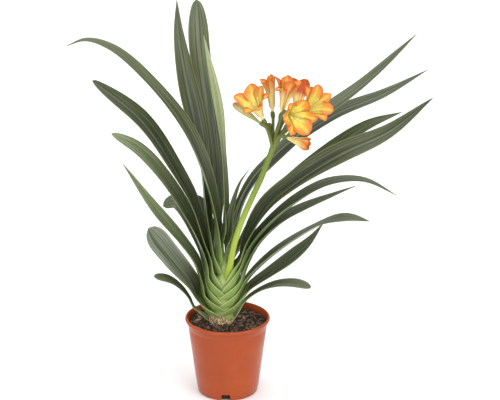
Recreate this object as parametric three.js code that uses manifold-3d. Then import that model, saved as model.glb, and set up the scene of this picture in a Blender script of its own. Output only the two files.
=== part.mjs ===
// A flowering clivia (Clivia miniata) in its 13 cm nursery pot.
// Millimetres, +Z up. The origin is the middle of the pot's underside, the fan of leaves
// spreads along X, and the plant's front looks along -Y.
import * as THREE from 'three';
import { mergeVertices } from 'three/addons/utils/BufferGeometryUtils.js';
import Module from 'manifold-3d';

const wasm = await Module();
wasm.setup();

// ---------------------------------------------------------------- driving dimensions

const GAP = 0.4;                     // air between two pieces that would touch

const POT = {
  rim: 65,                           // outer radius of the rolled lip
  height: 121,
  lip: 5.5,                          // height of the rolled lip
  neck: 61.5,                        // outer radius just under the lip
  foot: 46,                          // outer radius on the ground
  step: 9,                           // height of the small step above the foot
  stepIn: 1.8,
  wall: 1.6,
  floor: 2.4,
  notch: { width: 15, height: 10.5, taper: 1.5, count: 3, turn: -3 },
};

const SOIL = { edge: 112, mound: 0.8, lump: 1.1, sectors: 28, rings: 7 };

const STEM = {
  x: -9, y: 3,                       // where it stands in the pot
  foot: 86, soil: 110, shoulder: 176, top: 222,
  radius: 16, depth: 13,             // half width and half depth up to the shoulder
  flare: 2.4,                        // how much stouter it is at the soil
  hole: 2.7,                         // how much wider the soil's hole is
};

const LEAF = {
  thick: 1.9,                        // along the midrib
  root: 1.2,                         // the same at the very base
  thin: 0.9,                         // at the margins
  clear: 1.7,                        // from the stem to the base's middle surface
  bulge: 0.36,                       // how fast a base leans away from the stem, front and back
  low: 118, high: 178,               // heights between which these pairs go from old to young:
  sheath: [40, 66],                  //   length over which the base opens into a strap
  unwrap: [26, 30],                  //   how far up a base lets go of the stem
  waist: [0.42, 0.95],               //   width above the sheath, as a share of the blade's
  curl: 48,                          // most that a base curls in once it has let go, degrees
  youngCurl: 32,                     // the same for the leaves above the stem's shoulder
  columns: 6,
  keel: [0.56, 0.2],                 // rise of the margins by half width, low down and at the tip
};

const BLUNT_TIP = 0.3;               // leaves that taper over no more than this end round

const BLOOM = {
  outer: { half: 11.5, out: 1.1 },   // tepals up to this half width stand outside the others
  ruffle: 1.6,
  thick: 0.9,
  throat: 7,                         // height in the tube where the petals part
  waist: 2.7,                        // radius there
};

const STAMEN = { count: 6, tall: 37, style: 46, foot: 9.8, radius: 0.55, anther: 0.7 };

const STALK = {
  sides: 8,
  foot: 13.2, width: [9.6, 8.5],       // width at the foot, above it (from the first third) and at the top
  depth: [7, 6],
};

const UMBEL = new THREE.Vector3(68, -38, 405);   // where the flower stems part

// ---------------------------------------------------------------- finishes

const finish = (color, roughness) => new THREE.MeshStandardMaterial({
  color,
  roughness,
  metalness: 0,
  side: THREE.FrontSide,
});

const FINISH = {
  pot: finish(0xc25b32, 0.4),
  soil: finish(0x503f35, 0.95),
  leaf: finish(0x4d5a3c, 0.45),
  stalk: finish(0x9bb05e, 0.5),
  petal: finish(0xf0913a, 0.5),
  bud: finish(0xa9a04a, 0.5),
  stamen: finish(0xf2e08a, 0.6),
  dry: finish(0xcbb487, 0.85),
};

// ---------------------------------------------------------------- helpers

const v3 = (x, y, z) => new THREE.Vector3(x, y, z);
const lerp = THREE.MathUtils.lerp;
const rad = THREE.MathUtils.degToRad;
const smooth = (x, a, b) => THREE.MathUtils.smoothstep(x, a, b);

// A wave that repeats every whole turn, for edges and lumps that look grown.
const ripple = (a, seed) => Math.sin(a * 3 + seed) * 0.5 + Math.sin(a * 7 + seed * 2.3) * 0.3
  + Math.sin(a * 11 + seed * 4.1) * 0.2;

function indexed(positions, index) {
  const geometry = new THREE.BufferGeometry();
  geometry.setAttribute('position', new THREE.Float32BufferAttribute(positions, 3));
  geometry.setIndex(index);
  return geometry;
}

function toSolid(geometry) {
  const bare = geometry.clone();
  bare.deleteAttribute('normal');
  bare.deleteAttribute('uv');
  const merged = mergeVertices(bare, 1e-4);
  return new wasm.Manifold(new wasm.Mesh({
    numProp: 3,
    vertProperties: new Float32Array(merged.attributes.position.array),
    triVerts: new Uint32Array(merged.index.array),
  }));
}

function fromSolid(solid) {
  const mesh = solid.getMesh();
  return indexed(Array.from(mesh.vertProperties), Array.from(mesh.triVerts));
}

const join = (solids) => solids.reduce((whole, next) => whole.add(next));

// Pieces that meet can close off a small pocket of air: faces that are nearly flat together
// are merged, and only the outer skin is kept.
const outerSkin = (solid, flat) => join(solid.simplify(flat).decompose()
  .filter((part) => part.volume() > 0));

const clivia = new THREE.Group();

function addPiece(name, geometry, material) {
  geometry.computeVertexNormals();
  const mesh = new THREE.Mesh(geometry, material);
  mesh.name = name;
  clivia.add(mesh);
  return mesh;
}

// A thin closed sheet. rows[i][j] is its middle surface, thickness(i, j) its full thickness.
// Both faces are split along the same diagonals.
function sheet(rows, thickness) {
  const n = rows.length;
  const m = rows[0].length;
  const positions = [];
  const index = [];
  const normal = (i, j) => {
    const along = v3().subVectors(rows[Math.min(i + 1, n - 1)][j], rows[Math.max(i - 1, 0)][j]);
    const across = v3().subVectors(rows[i][Math.min(j + 1, m - 1)], rows[i][Math.max(j - 1, 0)]);
    return along.cross(across).normalize();
  };
  for (const face of [0.5, -0.5]) {
    for (let i = 0; i < n; i += 1) {
      for (let j = 0; j < m; j += 1) {
        const p = rows[i][j].clone().addScaledVector(normal(i, j), face * thickness(i, j));
        positions.push(p.x, p.y, p.z);
      }
    }
  }
  const top = (i, j) => i * m + j;
  const under = (i, j) => n * m + i * m + j;
  const quad = (a, b, c, d) => index.push(a, b, c, a, c, d);
  for (let i = 0; i + 1 < n; i += 1) {
    for (let j = 0; j + 1 < m; j += 1) {
      quad(top(i, j), top(i + 1, j), top(i + 1, j + 1), top(i, j + 1));
      index.push(under(i, j), under(i + 1, j + 1), under(i + 1, j));
      index.push(under(i, j), under(i, j + 1), under(i + 1, j + 1));
    }
  }
  for (let i = 0; i + 1 < n; i += 1) {
    quad(top(i + 1, 0), top(i, 0), under(i, 0), under(i + 1, 0));
    quad(top(i, m - 1), top(i + 1, m - 1), under(i + 1, m - 1), under(i, m - 1));
  }
  for (let j = 0; j + 1 < m; j += 1) {
    quad(top(0, j), top(0, j + 1), under(0, j + 1), under(0, j));
    quad(top(n - 1, j + 1), top(n - 1, j), under(n - 1, j), under(n - 1, j + 1));
  }
  return indexed(positions, index);
}

// A closed loft along a path: half sizes a (sideways) and b (front to back) at each station.
function loft(path, stations, sides, size) {
  const positions = [];
  const index = [];
  for (let i = 0; i <= stations; i += 1) {
    const s = i / stations;
    const middle = path.getPointAt(s);
    const tangent = path.getTangentAt(s);
    const side = v3(0, 1, 0).cross(tangent);
    if (side.length() < 0.1) {
      side.copy(v3(1, 0, 0).cross(tangent));
    }
    side.normalize();
    const front = tangent.clone().cross(side).normalize();
    const [a, b] = size(s);
    for (let k = 0; k < sides; k += 1) {
      const turn = (k / sides) * 2 * Math.PI;
      const p = middle.clone()
        .addScaledVector(side, a * Math.cos(turn))
        .addScaledVector(front, b * Math.sin(turn));
      positions.push(p.x, p.y, p.z);
    }
  }
  for (let i = 0; i < stations; i += 1) {
    for (let k = 0; k < sides; k += 1) {
      const next = (k + 1) % sides;
      const here = i * sides;
      const there = here + sides;
      index.push(here + k, here + next, there + next, here + k, there + next, there + k);
    }
  }
  const last = stations * sides;
  for (let k = 1; k + 1 < sides; k += 1) {
    index.push(0, k + 1, k);
    index.push(last, last + k, last + k + 1);
  }
  return indexed(positions, index);
}

// ---------------------------------------------------------------- pot

function potSolid() {
  const { rim, height, lip, neck, foot, step, stepIn, wall, floor, notch } = POT;
  const shoulder = height - lip;
  const radiusAt = (z) => lerp(foot + stepIn, neck, (z - step) / (shoulder - step));
  const groove = shoulder - 10;
  const profile = [
    [0, 0], [foot - 1.2, 0], [foot, 1.2], [foot + 0.6, step - 1.5], [radiusAt(step), step],
    [radiusAt(groove - 1), groove - 1], [radiusAt(groove) - 0.5, groove],
    [radiusAt(groove + 1), groove + 1], [neck, shoulder - 0.6], [rim - 1.2, shoulder],
    [rim, shoulder + 1.6], [rim - 0.2, height - 1.5], [rim - 1.4, height],
    [rim - 2.6, height - 0.7], [neck - wall, shoulder],
    [radiusAt(step) - wall, step + 2], [foot - wall - 1, floor], [0, floor],
  ];
  const shell = new THREE.LatheGeometry(profile.map(([r, z]) => new THREE.Vector2(r, z)), 28);
  shell.rotateX(Math.PI / 2);
  let solid = toSolid(shell);
  const outline = new THREE.Shape([
    new THREE.Vector2(-notch.width / 2, -1),
    new THREE.Vector2(notch.width / 2, -1),
    new THREE.Vector2(notch.width / 2 - notch.taper, notch.height),
    new THREE.Vector2(-notch.width / 2 + notch.taper, notch.height),
  ]);
  for (let k = 0; k < notch.count; k += 1) {
    const cut = new THREE.ExtrudeGeometry(outline, { depth: 12, bevelEnabled: false });
    cut.rotateX(Math.PI / 2);
    cut.translate(0, -(foot - 7), 0);
    cut.rotateZ((k / notch.count) * 2 * Math.PI + rad(notch.turn));
    solid = solid.subtract(toSolid(cut));
  }
  return solid;
}

// ---------------------------------------------------------------- soil

const potInside = (z) => {
  const shoulder = POT.height - POT.lip;
  const low = POT.step + 2;
  const at = (z - low) / (shoulder - low);
  const lowRadius = POT.foot + POT.stepIn - POT.wall;
  return at < 0
    ? lerp(POT.foot - POT.wall - 1, lowRadius, (z - POT.floor) / (low - POT.floor))
    : lerp(lowRadius, POT.neck - POT.wall, at);
};

function soilTop(x, y) {
  const edge = potInside(SOIL.edge);
  const out = Math.hypot(x, y) / edge;
  const lumps = Math.sin(x * 0.42 + 1) * Math.sin(y * 0.47 + 2) * 0.6
    + Math.sin(x * 0.19 + y * 0.23) * 0.4;
  return SOIL.edge + SOIL.mound * (1 - out * out) + SOIL.lump * lumps * (1 - out ** 6);
}

function soilSolid() {
  const { sectors, rings } = SOIL;
  const positions = [];
  const index = [];
  const bottom = POT.floor + GAP;
  const walls = [SOIL.edge, POT.step + 2, bottom];
  positions.push(0, 0, soilTop(0, 0));
  for (let i = 1; i <= rings; i += 1) {
    for (let k = 0; k < sectors; k += 1) {
      const turn = (k / sectors) * 2 * Math.PI;
      const r = (i / rings) * (potInside(SOIL.edge) - GAP - 0.2);
      const x = r * Math.cos(turn);
      const y = r * Math.sin(turn);
      positions.push(x, y, i === rings ? SOIL.edge : soilTop(x, y));
    }
  }
  for (const z of walls.slice(1)) {
    for (let k = 0; k < sectors; k += 1) {
      const turn = (k / sectors) * 2 * Math.PI;
      const r = potInside(z) - GAP - 0.2;
      positions.push(r * Math.cos(turn), r * Math.sin(turn), z);
    }
  }
  positions.push(0, 0, bottom);
  const ring = (i, k) => 1 + (i - 1) * sectors + (k % sectors);
  const last = rings + walls.length - 1;
  for (let k = 0; k < sectors; k += 1) {
    index.push(0, ring(1, k), ring(1, k + 1));
    for (let i = 1; i < last; i += 1) {
      index.push(ring(i, k), ring(i + 1, k), ring(i + 1, k + 1));
      index.push(ring(i, k), ring(i + 1, k + 1), ring(i, k + 1));
    }
    index.push(positions.length / 3 - 1, ring(last, k + 1), ring(last, k));
  }
  const hole = new THREE.CylinderGeometry(1, 1, 60, 28);
  hole.rotateX(Math.PI / 2);
  const room = STEM.flare + STEM.hole;
  hole.scale(STEM.radius + room, STEM.depth + room, 1);
  hole.translate(STEM.x, STEM.y, STEM.foot - GAP + 30);
  return toSolid(indexed(positions, index)).subtract(toSolid(hole));
}

// ---------------------------------------------------------------- stem, stalk, flower stems

// The short stem's half width and half depth at a height: stout up to its shoulder, where
// the flower stalk leaves it, and thin above, inside the youngest leaves.
function stemSize(z) {
  const thin = 1 - 0.45 * smooth(z, STEM.shoulder, STEM.shoulder + 12)
    - 0.38 * smooth(z, STEM.shoulder + 8, STEM.top);
  const flare = STEM.flare * (1 - smooth(z, STEM.soil, STEM.shoulder));
  return [STEM.radius * thin + flare, STEM.depth * thin + flare];
}

// The stem's axis leans back and a little to the right as it goes up.
const stemAxis = (z) => {
  const up = Math.max(z - STEM.soil, 0) / (STEM.top - STEM.soil);
  return v3(STEM.x + 4 * up, STEM.y + 5 * up * up, z);
};

const STALK_PATH = new THREE.CatmullRomCurve3([
  v3(-3, 1, 160), v3(-1, -1, 178), v3(1, -4, 191), v3(3.5, -8, 204), v3(6.4, -14, 222),
  v3(11.4, -22, 250), v3(22.5, -26, 287), v3(36, -30, 321), v3(51, -34, 357), v3(61, -36, 385),
  UMBEL,
], false, 'centripetal');

// Each bloom: where its tube begins, where it looks and its six tepals. A tepal is given by its
// turn round the tube, its lean outwards, half width, length and the further bend of its tip.
const BLOOMS = [
  { name: 'flower_1', base: [53.4, -46, 451.3], look: [-0.38, -0.4, 0.84], start: 13,
    tepals: [[345, 36, 11.4, 47, 60], [32, 34, 13, 48, 26], [86, 38, 16, 50, 24],
      [148, 50, 11.4, 50, 20], [225, 44, 12, 38, 50], [285, 50, 11.4, 44, 30]] },
  { name: 'flower_2', base: [67.3, -22, 455.6], look: [-0.08, 0, 1], start: 5,
    tepals: [[24, 4, 10, 45, 6], [84, 4, 12, 47, 10], [150, 22, 11, 44, 24],
      [210, 24, 12.5, 43, 16], [270, 12, 10, 46, 6], [330, 2, 12, 46, 6]] },
  { name: 'flower_3', base: [80.2, -40, 459], look: [0.2, -0.1, 0.97],
    tepals: [[30, 26, 10.5, 48, 30], [100, 20, 13, 48, 20], [172, 26, 10.5, 49, 16],
      [222, 22, 11, 44, 105], [282, 20, 17.5, 50, -6], [332, 30, 11.4, 46, -10]] },
  { name: 'flower_4', base: [102.8, -6, 450], look: [0.1, 0.8, 0.62],
    tepals: [[0, 34, 10.5, 46, 30], [60, 30, 13, 46, 30], [120, 30, 10.5, 46, 30],
      [180, 30, 13, 46, 30], [240, 32, 10.5, 46, 40], [300, 36, 13, 46, 40]] },
  { name: 'flower_5', base: [107.8, -28, 453.7], look: [0.56, -0.62, 0.54], start: 13,
    tepals: [[5, 44, 13, 48, 26], [60, 42, 10.5, 50, 30], [116, 42, 13, 52, 20],
      [158, 48, 10.5, 52, 30], [232, 44, 12, 44, 26], [312, 46, 13, 48, 26]] },
  { name: 'flower_6', base: [87, -58, 464.5], look: [0.40, -0.88, 0.14], start: 17,
    tepals: [[12, 44, 11.4, 47, 16], [92, 46, 18, 46, 4], [150, 40, 11.4, 45, 20],
      [205, 42, 15, 44, 20], [262, 48, 11.4, 46, 20], [318, 48, 18, 49, 10]] },
];

// The drooping half open bud and the closed bud.
const BUDS = [
  { name: 'bud_half_open', base: [88, -52, 425], look: [0.88, -0.36, -0.2], length: 36, width: 8 },
  { name: 'bud_closed', base: [49, -46, 446], look: [-0.79, 0, 0.6], length: 50, width: 5.8 },
];

// Flower stems that have lost their blooms and keep only the ovary.
const SPENT = [
  { base: [91, -40, 443], look: [0.6, -0.1, 0.8] },
  { base: [97, -27, 437], look: [0.7, 0.1, 0.7] },
  { base: [83, -30, 449], look: [0.2, 0.1, 0.97] },
  { base: [62, -30, 440], look: [-0.2, 0.1, 0.97] },
];

const OVARY = { length: 11, radius: 3.5 };
const PEDICEL = { radius: 2.3, sides: 5, stations: 4 };

function stalkSolid() {
  const stemRings = 11;
  const stemPath = new THREE.CatmullRomCurve3(
    [STEM.foot, 110, 145, 180, 200, STEM.top].map((z) => stemAxis(z)),
    false,
    'centripetal',
  );
  const stem = loft(stemPath, stemRings, 14, (s) => stemSize(lerp(STEM.foot, STEM.top, s)));
  const stalk = loft(STALK_PATH, 11, STALK.sides, (s) => [
    lerp(STALK.foot, lerp(...STALK.width, s), smooth(s, 0, 0.3)) / 2,
    lerp(...STALK.depth, s) / 2,
  ]);
  const pieces = [toSolid(stem), toSolid(stalk)];
  for (const { base, look } of [...BLOOMS, ...BUDS, ...SPENT]) {
    const end = v3(...base).addScaledVector(v3(...look).normalize(), -GAP);
    const swell = end.clone().addScaledVector(v3(...look).normalize(), -OVARY.length);
    const start = UMBEL.clone().add(v3(0, 0, -4));
    const lift = start.clone().lerp(swell, 0.5).add(v3(0, 0, 5));
    const path = new THREE.CatmullRomCurve3([start, lift, swell, end], false, 'centripetal');
    const reach = path.getLength();
    const swollen = 1 - OVARY.length / reach;
    pieces.push(toSolid(loft(path, PEDICEL.stations, PEDICEL.sides, (s) => {
      const at = THREE.MathUtils.clamp((s - swollen) / (1 - swollen), 0, 1);
      const r = PEDICEL.radius + (OVARY.radius - PEDICEL.radius) * Math.sin(Math.PI * at) ** 0.7;
      return [r, r];
    })));
  }
  return outerSkin(join(pieces), 0.08);
}

// ---------------------------------------------------------------- leaves

// side -1 is the left rank and +1 the right one, outermost first. attach is the height at
// which the base leaves the stem, spread its slope away from the stem, half the half width of
// the strap, wrap the degrees that the base takes round the stem's front and back, tip the
// share of the length that tapers (up to BLUNT_TIP the end is rounded), roll the blade's turn
// about its own midrib at a third, two thirds and the tip, and route the midrib's points
// above the sheath. bearing turns a leaf out of its rank, towards the back, waist sets the
// share of its width that it has just above the sheath, and slender narrows the stretch from
// there to the middle of the blade.
const LEAVES = [
  { name: 'leaf_left_01', side: -1, attach: 113, spread: 0.95, half: 10,
    wrap: [26, 36], tip: 0.2, roll: [12, 26, 44],
    route: [[-58, -8, 152], [-72, -16, 176], [-88, -25, 192], [-110, -34, 201]] },
  { name: 'leaf_right_01', side: 1, attach: 116, spread: 0.6, half: 14,
    wrap: [28, 36], tip: 0.26, roll: [8, 22, 26],
    route: [[48, 8, 158], [76, 12, 168], [104, 15, 168], [128, 17, 162]] },
  { name: 'leaf_left_02', side: -1, attach: 122, spread: 0.62, half: 17.5, waist: 0.66,
    wrap: [102, 98], tip: 0.16, roll: [34, 54, 60],
    route: [[-55, -9, 176], [-68, -21, 202], [-90, -37, 241], [-116, -50, 284]] },
  { name: 'leaf_right_02', side: 1, attach: 128, spread: 0.6, half: 17, waist: 0.55,
    wrap: [100, 96], tip: 0.5, roll: [20, 26, 16],
    route: [[40, 1, 170], [68, -5, 194], [99, -10, 221], [124, -16, 248], [144, -22, 281]] },
  { name: 'leaf_left_03', side: -1, attach: 134, spread: 0.45, half: 14,
    wrap: [108, 100], tip: 0.4, roll: [16, 18, 16],
    route: [[-41, -3, 178], [-50, -9, 212], [-72, -18, 250], [-108, -30, 305],
      [-152, -44, 382]] },
  { name: 'leaf_right_03', side: 1, attach: 140, spread: 0.52, half: 13, waist: 0.72,
    wrap: [108, 100], tip: 0.4, roll: [2, -6, 70],
    route: [[36, 9, 183], [67, 16, 212], [109, 25, 241], [147, 32, 260.5], [184, 36, 269],
      [217, 38, 262]] },
  { name: 'leaf_left_04', side: -1, attach: 145, spread: 0.36, half: 12,
    wrap: [94, 84], tip: 0.18, roll: [20, 40, 60],
    route: [[-37, 10, 190], [-45, 19, 232], [-61, 31, 270], [-79, 40, 293], [-98, 44, 284]] },
  { name: 'leaf_right_04', side: 1, attach: 152.5, spread: 0.5, half: 15,
    wrap: [108, 100], tip: 0.5, roll: [8, 8, 6],
    route: [[30, 5, 199], [49, 8, 236], [82, 10, 270], [122, 13, 295], [165, 17, 314],
      [194, 21, 325]] },
  { name: 'leaf_left_05', side: -1, attach: 158, spread: 0.3, half: 17, waist: 0.64,
    wrap: [106, 94], tip: 0.29, roll: [18, 22, 20],
    route: [[-34, -2, 205], [-43, -4, 243], [-65, -4, 292], [-95, -5, 345], [-133, -9, 393],
      [-170, -14, 419]] },
  { name: 'leaf_right_05', side: 1, attach: 164, spread: 0.3, half: 15,
    wrap: [100, 100], tip: 0.5, roll: [4, 6, 14],
    route: [[26, 3, 204], [38, -2, 237], [66, -13, 277], [108, -23, 318], [154, -30, 348],
      [202, -36, 354], [250, -42, 333]] },
  { name: 'leaf_left_06', side: -1, attach: 170, spread: 0.1, half: 18, waist: 0.58, slender: 0.9,
    wrap: [92, 92], tip: 0.3, roll: [20, 28, 26],
    route: [[-28, 1, 214], [-37, -4, 245], [-52, -8, 301], [-79, -15, 363], [-125, -24, 441],
      [-194, -36, 507]] },
  { name: 'leaf_right_06', side: 1, attach: 176, spread: 0.24, half: 18, waist: 0.8,
    wrap: [82, 100], tip: 0.39, roll: [24, 38, 36],
    route: [[25, 1, 214], [34, -5, 248], [61, -14, 303], [106, -26, 348], [166, -38, 393],
      [238, -50, 434], [298, -60, 488]] },
  { name: 'leaf_left_07', side: -1, attach: 183, spread: 0.2, half: 9.5,
    wrap: [30, 42], tip: 0.2, bearing: 58, roll: [0, 10, 20],
    route: [[-22, 34, 222], [-28, 40, 250], [-36, 46, 279], [-47, 54, 298]] },
  { name: 'leaf_right_07', side: 1, attach: 186, spread: 0.24, half: 16, waist: 0.7, slender: 0.8,
    wrap: [22, 70], tip: 0.31, roll: [14, 22, 22],
    route: [[19, 19, 223], [34, 32, 252], [67, 38, 295], [114, 47, 338], [170, 54, 379.5],
      [217, 58, 410.5], [263, 60, 429]] },
  { name: 'leaf_left_08', side: -1, attach: 190, spread: 0.28, half: 17, waist: 0.53,
    wrap: [80, 32], tip: 0.4, roll: [20, 56, 60],
    route: [[-26, 2.4, 232], [-32, 1, 276], [-37, 6, 346], [-47, 12, 420], [-62, 14, 500],
      [-71, 14, 568], [-72, 13, 614]] },
  { name: 'leaf_right_08', side: 1, attach: 194, spread: 0.14, half: 16, waist: 0.55, slender: 0.75,
    wrap: [28, 70], tip: 0.4, roll: [16, 22, 20],
    route: [[15, 21, 232], [16, 32, 260], [27, 42, 294.5], [45, 51, 323],
      [67, 57, 343], [89, 62, 364], [109, 66, 384], [166, 74, 421], [236, 82, 450], [302, 84, 488]] },
  { name: 'leaf_left_09', side: -1, attach: 197, spread: 0.22, half: 16, waist: 0.5,
    wrap: [74, 60], tip: 0.14, roll: [58, 74, 70],
    route: [[-19.5, 22.5, 242], [-19, 37, 296], [-22, 49, 362], [-31, 57, 440], [-41, 60, 520],
      [-45, 62, 603]] },
  { name: 'leaf_right_09', side: 1, attach: 202, spread: 0.1, half: 16, waist: 0.66, slender: 0.6,
    wrap: [40, 80], tip: 0.34, roll: [10, 16, 16],
    route: [[8, 13, 238], [15, 22, 284], [40, 34, 334], [86, 46, 378], [140, 56, 422],
      [212, 66, 477], [283, 72, 547]] },
  { name: 'leaf_left_10', side: -1, attach: 205, spread: 0.02, half: 17, waist: 0.56,
    wrap: [84, 40], tip: 0.5, roll: [20, 18, 26],
    route: [[-15.6, -6, 248], [-21, -12, 297], [-34, -19, 355], [-65, -29, 436], [-108, -38, 500],
      [-162, -46, 557], [-200, -51, 572], [-228, -55, 564]] },
  { name: 'leaf_right_10', side: 1, attach: 210, spread: 0, half: 5.5, waist: 1, slender: 0.75,
    wrap: [60, 80], tip: 0.5, roll: [60, 64, 50],
    route: [[1.6, -1.6, 254], [8, -6, 302], [20, -10, 342], [36, -14, 367]] },
  { name: 'leaf_left_11', side: -1, attach: 219, spread: 0.0, half: 11, waist: 0.8, slender: 0.7,
    wrap: [92, 80], tip: 0.45, roll: [30, 40, 46],
    route: [[-6.6, 4.4, 262], [-4, 0, 330], [-8, -3, 410], [-19, -5, 490], [-33, -6, 566]] },
];

const BASE_RISE = [0, 12, 26];        // heights of the midrib's points along the base
const SHEATH_STATIONS = [0, 8, 18, 34, 56];
const BLADE_STEP = 54;

function leafMidrib({ side, attach, spread, route, bearing = 0 }) {
  const axis = stemAxis(attach);
  const out = stemSize(attach)[0] + LEAF.clear;
  const back = (route[0][1] - axis.y) / (route[0][2] - attach);
  const turn = rad(bearing);
  const base = BASE_RISE.map((up) => v3(
    axis.x + side * (out + spread * up) * Math.cos(turn),
    axis.y + (out + spread * up) * Math.sin(turn) + (bearing ? 0 : back * up),
    attach + up,
  ));
  const above = route.map(([x, y, z]) => v3(x, y, z));
  return new THREE.CatmullRomCurve3([...base, ...above], false, 'centripetal');
}

// How far an ellipse runs from the end of its axis `out`, at even steps of its angle.
function arcLengths(out, depth) {
  const step = rad(3);
  const lengths = [0];
  for (let k = 1; k <= 42; k += 1) {
    const at = (k - 0.5) * step;
    lengths.push(lengths[k - 1] + Math.hypot(out * Math.sin(at), depth * Math.cos(at)) * step);
  }
  const lengthAt = (angle) => {
    const k = Math.min(Math.floor(angle / step), lengths.length - 2);
    return lerp(lengths[k], lengths[k + 1], angle / step - k);
  };
  const angleAt = (length) => {
    const k = Math.min(lengths.findIndex((far) => far > length) - 1, lengths.length - 2);
    return k < 0 ? (lengths.length - 1) * step
      : (k + (length - lengths[k]) / (lengths[k + 1] - lengths[k])) * step;
  };
  return { lengthAt, angleAt };
}

function leafRows(leaf) {
  const { side, attach, half, wrap, tip, roll, bearing = 0 } = leaf;
  const young = smooth(attach, LEAF.low, LEAF.high);
  const narrowest = leaf.waist ?? lerp(...LEAF.waist, young);
  const sheath = lerp(...LEAF.sheath, young);
  const unwrap = lerp(...LEAF.unwrap, young);
  const midrib = leafMidrib(leaf);
  const length = midrib.getLength();
  const left = length - SHEATH_STATIONS.at(-1);
  const steps = Math.max(4, Math.round(left / BLADE_STEP));
  const stations = [...SHEATH_STATIONS];
  for (let i = 1; i <= steps; i += 1) {
    stations.push(SHEATH_STATIONS.at(-1) + (left * i) / steps);
  }
  stations.splice(stations.length - 1, 0, length - left / steps / 3);
  const axis = stemAxis(attach);
  const curl = rad(attach > STEM.shoulder ? LEAF.youngCurl : LEAF.curl);
  const rows = stations.map((u) => {
    const s = Math.min(u / length, 1);
    const p = midrib.getPointAt(s);
    const along = midrib.getTangentAt(s);
    // the strap: its far margin lies along `across`, its upper face looks along `up`
    const level = v3(-side * Math.sin(rad(bearing)), Math.cos(rad(bearing)), 0);
    const flat = level.clone().addScaledVector(along, -along.dot(level)).normalize();
    const face = side < 0 ? flat.clone().cross(along) : along.clone().cross(flat);
    const part = s * 3;
    const turns = [0, ...roll];
    const k = Math.min(Math.floor(part), 2);
    const turn = rad(lerp(turns[k], turns[k + 1], smooth(part - k, 0, 1)));
    const across = flat.clone().multiplyScalar(Math.cos(turn)).addScaledVector(face, Math.sin(turn));
    const up = face.clone().multiplyScalar(Math.cos(turn)).addScaledVector(flat, -Math.sin(turn));
    // half width along the leaf, with a narrow waist above the sheath and the tip's taper
    const waist = lerp(narrowest, 1, smooth(u, 40, 180));
    const end = Math.max((s - (1 - tip)) / tip, 0);
    const taper = tip <= BLUNT_TIP ? Math.sqrt(Math.max(1 - end * end, 0.012)) : 1 - 0.92 * end ** 1.9;
    const slim = lerp(1, leaf.slender ?? 1, smooth(u, 40, 90) * (1 - smooth(u, 160, 260)));
    const strapHalf = half * waist * slim * taper;
    // the sheath: an arc round the stem, whose wings get shorter as it rises
    const open = smooth(u, 8, sheath);
    const outward = Math.hypot(p.x - axis.x, (p.y - axis.y) * Math.sin(rad(bearing)));
    const depth = stemSize(attach)[1] + LEAF.clear + LEAF.bulge * Math.min(u, 40);
    const { lengthAt, angleAt } = arcLengths(outward, depth);
    const reach = wrap.map((w) => {
      const short = Math.max(1 - u / unwrap, 0) ** 1.35;
      const wing = lerp(strapHalf, lengthAt(rad(w)), short);
      return Math.min(angleAt(wing), lerp(rad(w), curl, smooth(u, 0, 60)));
    });
    const outwards = v3(side * Math.cos(rad(bearing)), Math.sin(rad(bearing)), 0);
    const row = [];
    for (let j = 0; j <= LEAF.columns; j += 1) {
      const v = (j / LEAF.columns) * 2 - 1;
      const arc = v * (v < 0 ? reach[0] : reach[1]);
      const wrapped = p.clone()
        .addScaledVector(outwards, -outward * (1 - Math.cos(arc)))
        .addScaledVector(level, depth * Math.sin(arc));
      const channel = lerp(...LEAF.keel, smooth(s, 0.3, 0.95)) * Math.abs(v) ** 1.2 * strapHalf;
      const strap = p.clone()
        .addScaledVector(across, v * strapHalf)
        .addScaledVector(up, channel);
      row.push(wrapped.lerp(strap, open));
    }
    return side < 0 ? row : row.reverse();
  });
  return rows;
}

function leafGeometry(leaf) {
  const rows = leafRows(leaf);
  const middle = LEAF.columns / 2;
  return sheet(rows, (i, j) => {
    const edge = Math.abs(j - middle) / middle;
    const sheath = smooth(i, 0, 4);
    const rib = lerp(LEAF.root, LEAF.thick, sheath) * (1 - 0.35 * (i / (rows.length - 1)));
    return lerp(rib, LEAF.thin, edge);
  });
}

// ---------------------------------------------------------------- blooms

// One tepal in the bloom's own frame: the bloom looks along +Z and its tube starts at 0. The
// tepal's section is an arc round the bloom's axis, so inner and outer ones never cross.
function petalRows([turn, flare, half, length, curl], start) {
  const steps = 4;
  const columns = 3;
  const rows = [];
  const around = rad(turn);
  let r = BLOOM.waist + (half > BLOOM.outer.half ? 0 : BLOOM.outer.out);
  let h = BLOOM.throat;
  let last = 0;
  for (let i = 0; i <= steps; i += 1) {
    const t = 1 - (1 - i / steps) ** 1.35;
    const lean = rad(lerp(start, flare, t ** 1.25) + curl * smooth(t, 0.7, 1));
    r += length * (t - last) * Math.sin(lean);
    h += length * (t - last) * Math.cos(lean);
    last = t;
    const round = Math.max(1 - Math.max((t - 0.5) / 0.5, 0) ** 3, 0.1) ** 0.5;
    const w = Math.min(half * lerp(0.34, 1, smooth(t, 0, 0.58)) * round, 0.85 * r);
    const row = [];
    for (let j = 0; j <= columns; j += 1) {
      const v = (j / columns) * 2 - 1;
      const wave = BLOOM.ruffle * smooth(t, 0.3, 1) * Math.abs(v) ** 1.5
        * Math.sin(7 * t + 2.2 * v + around * 1.7);
      const bend = (v * w) / r;
      const p = v3(r * Math.cos(bend), r * Math.sin(bend), h + wave);
      row.push(p.applyAxisAngle(v3(0, 0, 1), around));
    }
    rows.push(row);
  }
  return rows;
}

function bloomSolid({ tepals, start = 10 }) {
  const tube = new THREE.LatheGeometry([
    [0, 0], [1.8, 0], [3.3, 4], [4.4, 9], [5.2, 13], [2.8, 13], [2, 9], [0, 7],
  ].map(([r, z]) => new THREE.Vector2(r, z)), 9);
  tube.rotateX(Math.PI / 2);
  const petals = tepals.map((tepal) => toSolid(sheet(petalRows(tepal, start), () => BLOOM.thick)));
  return outerSkin(join([toSolid(tube), ...petals]), 0.1);
}

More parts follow.
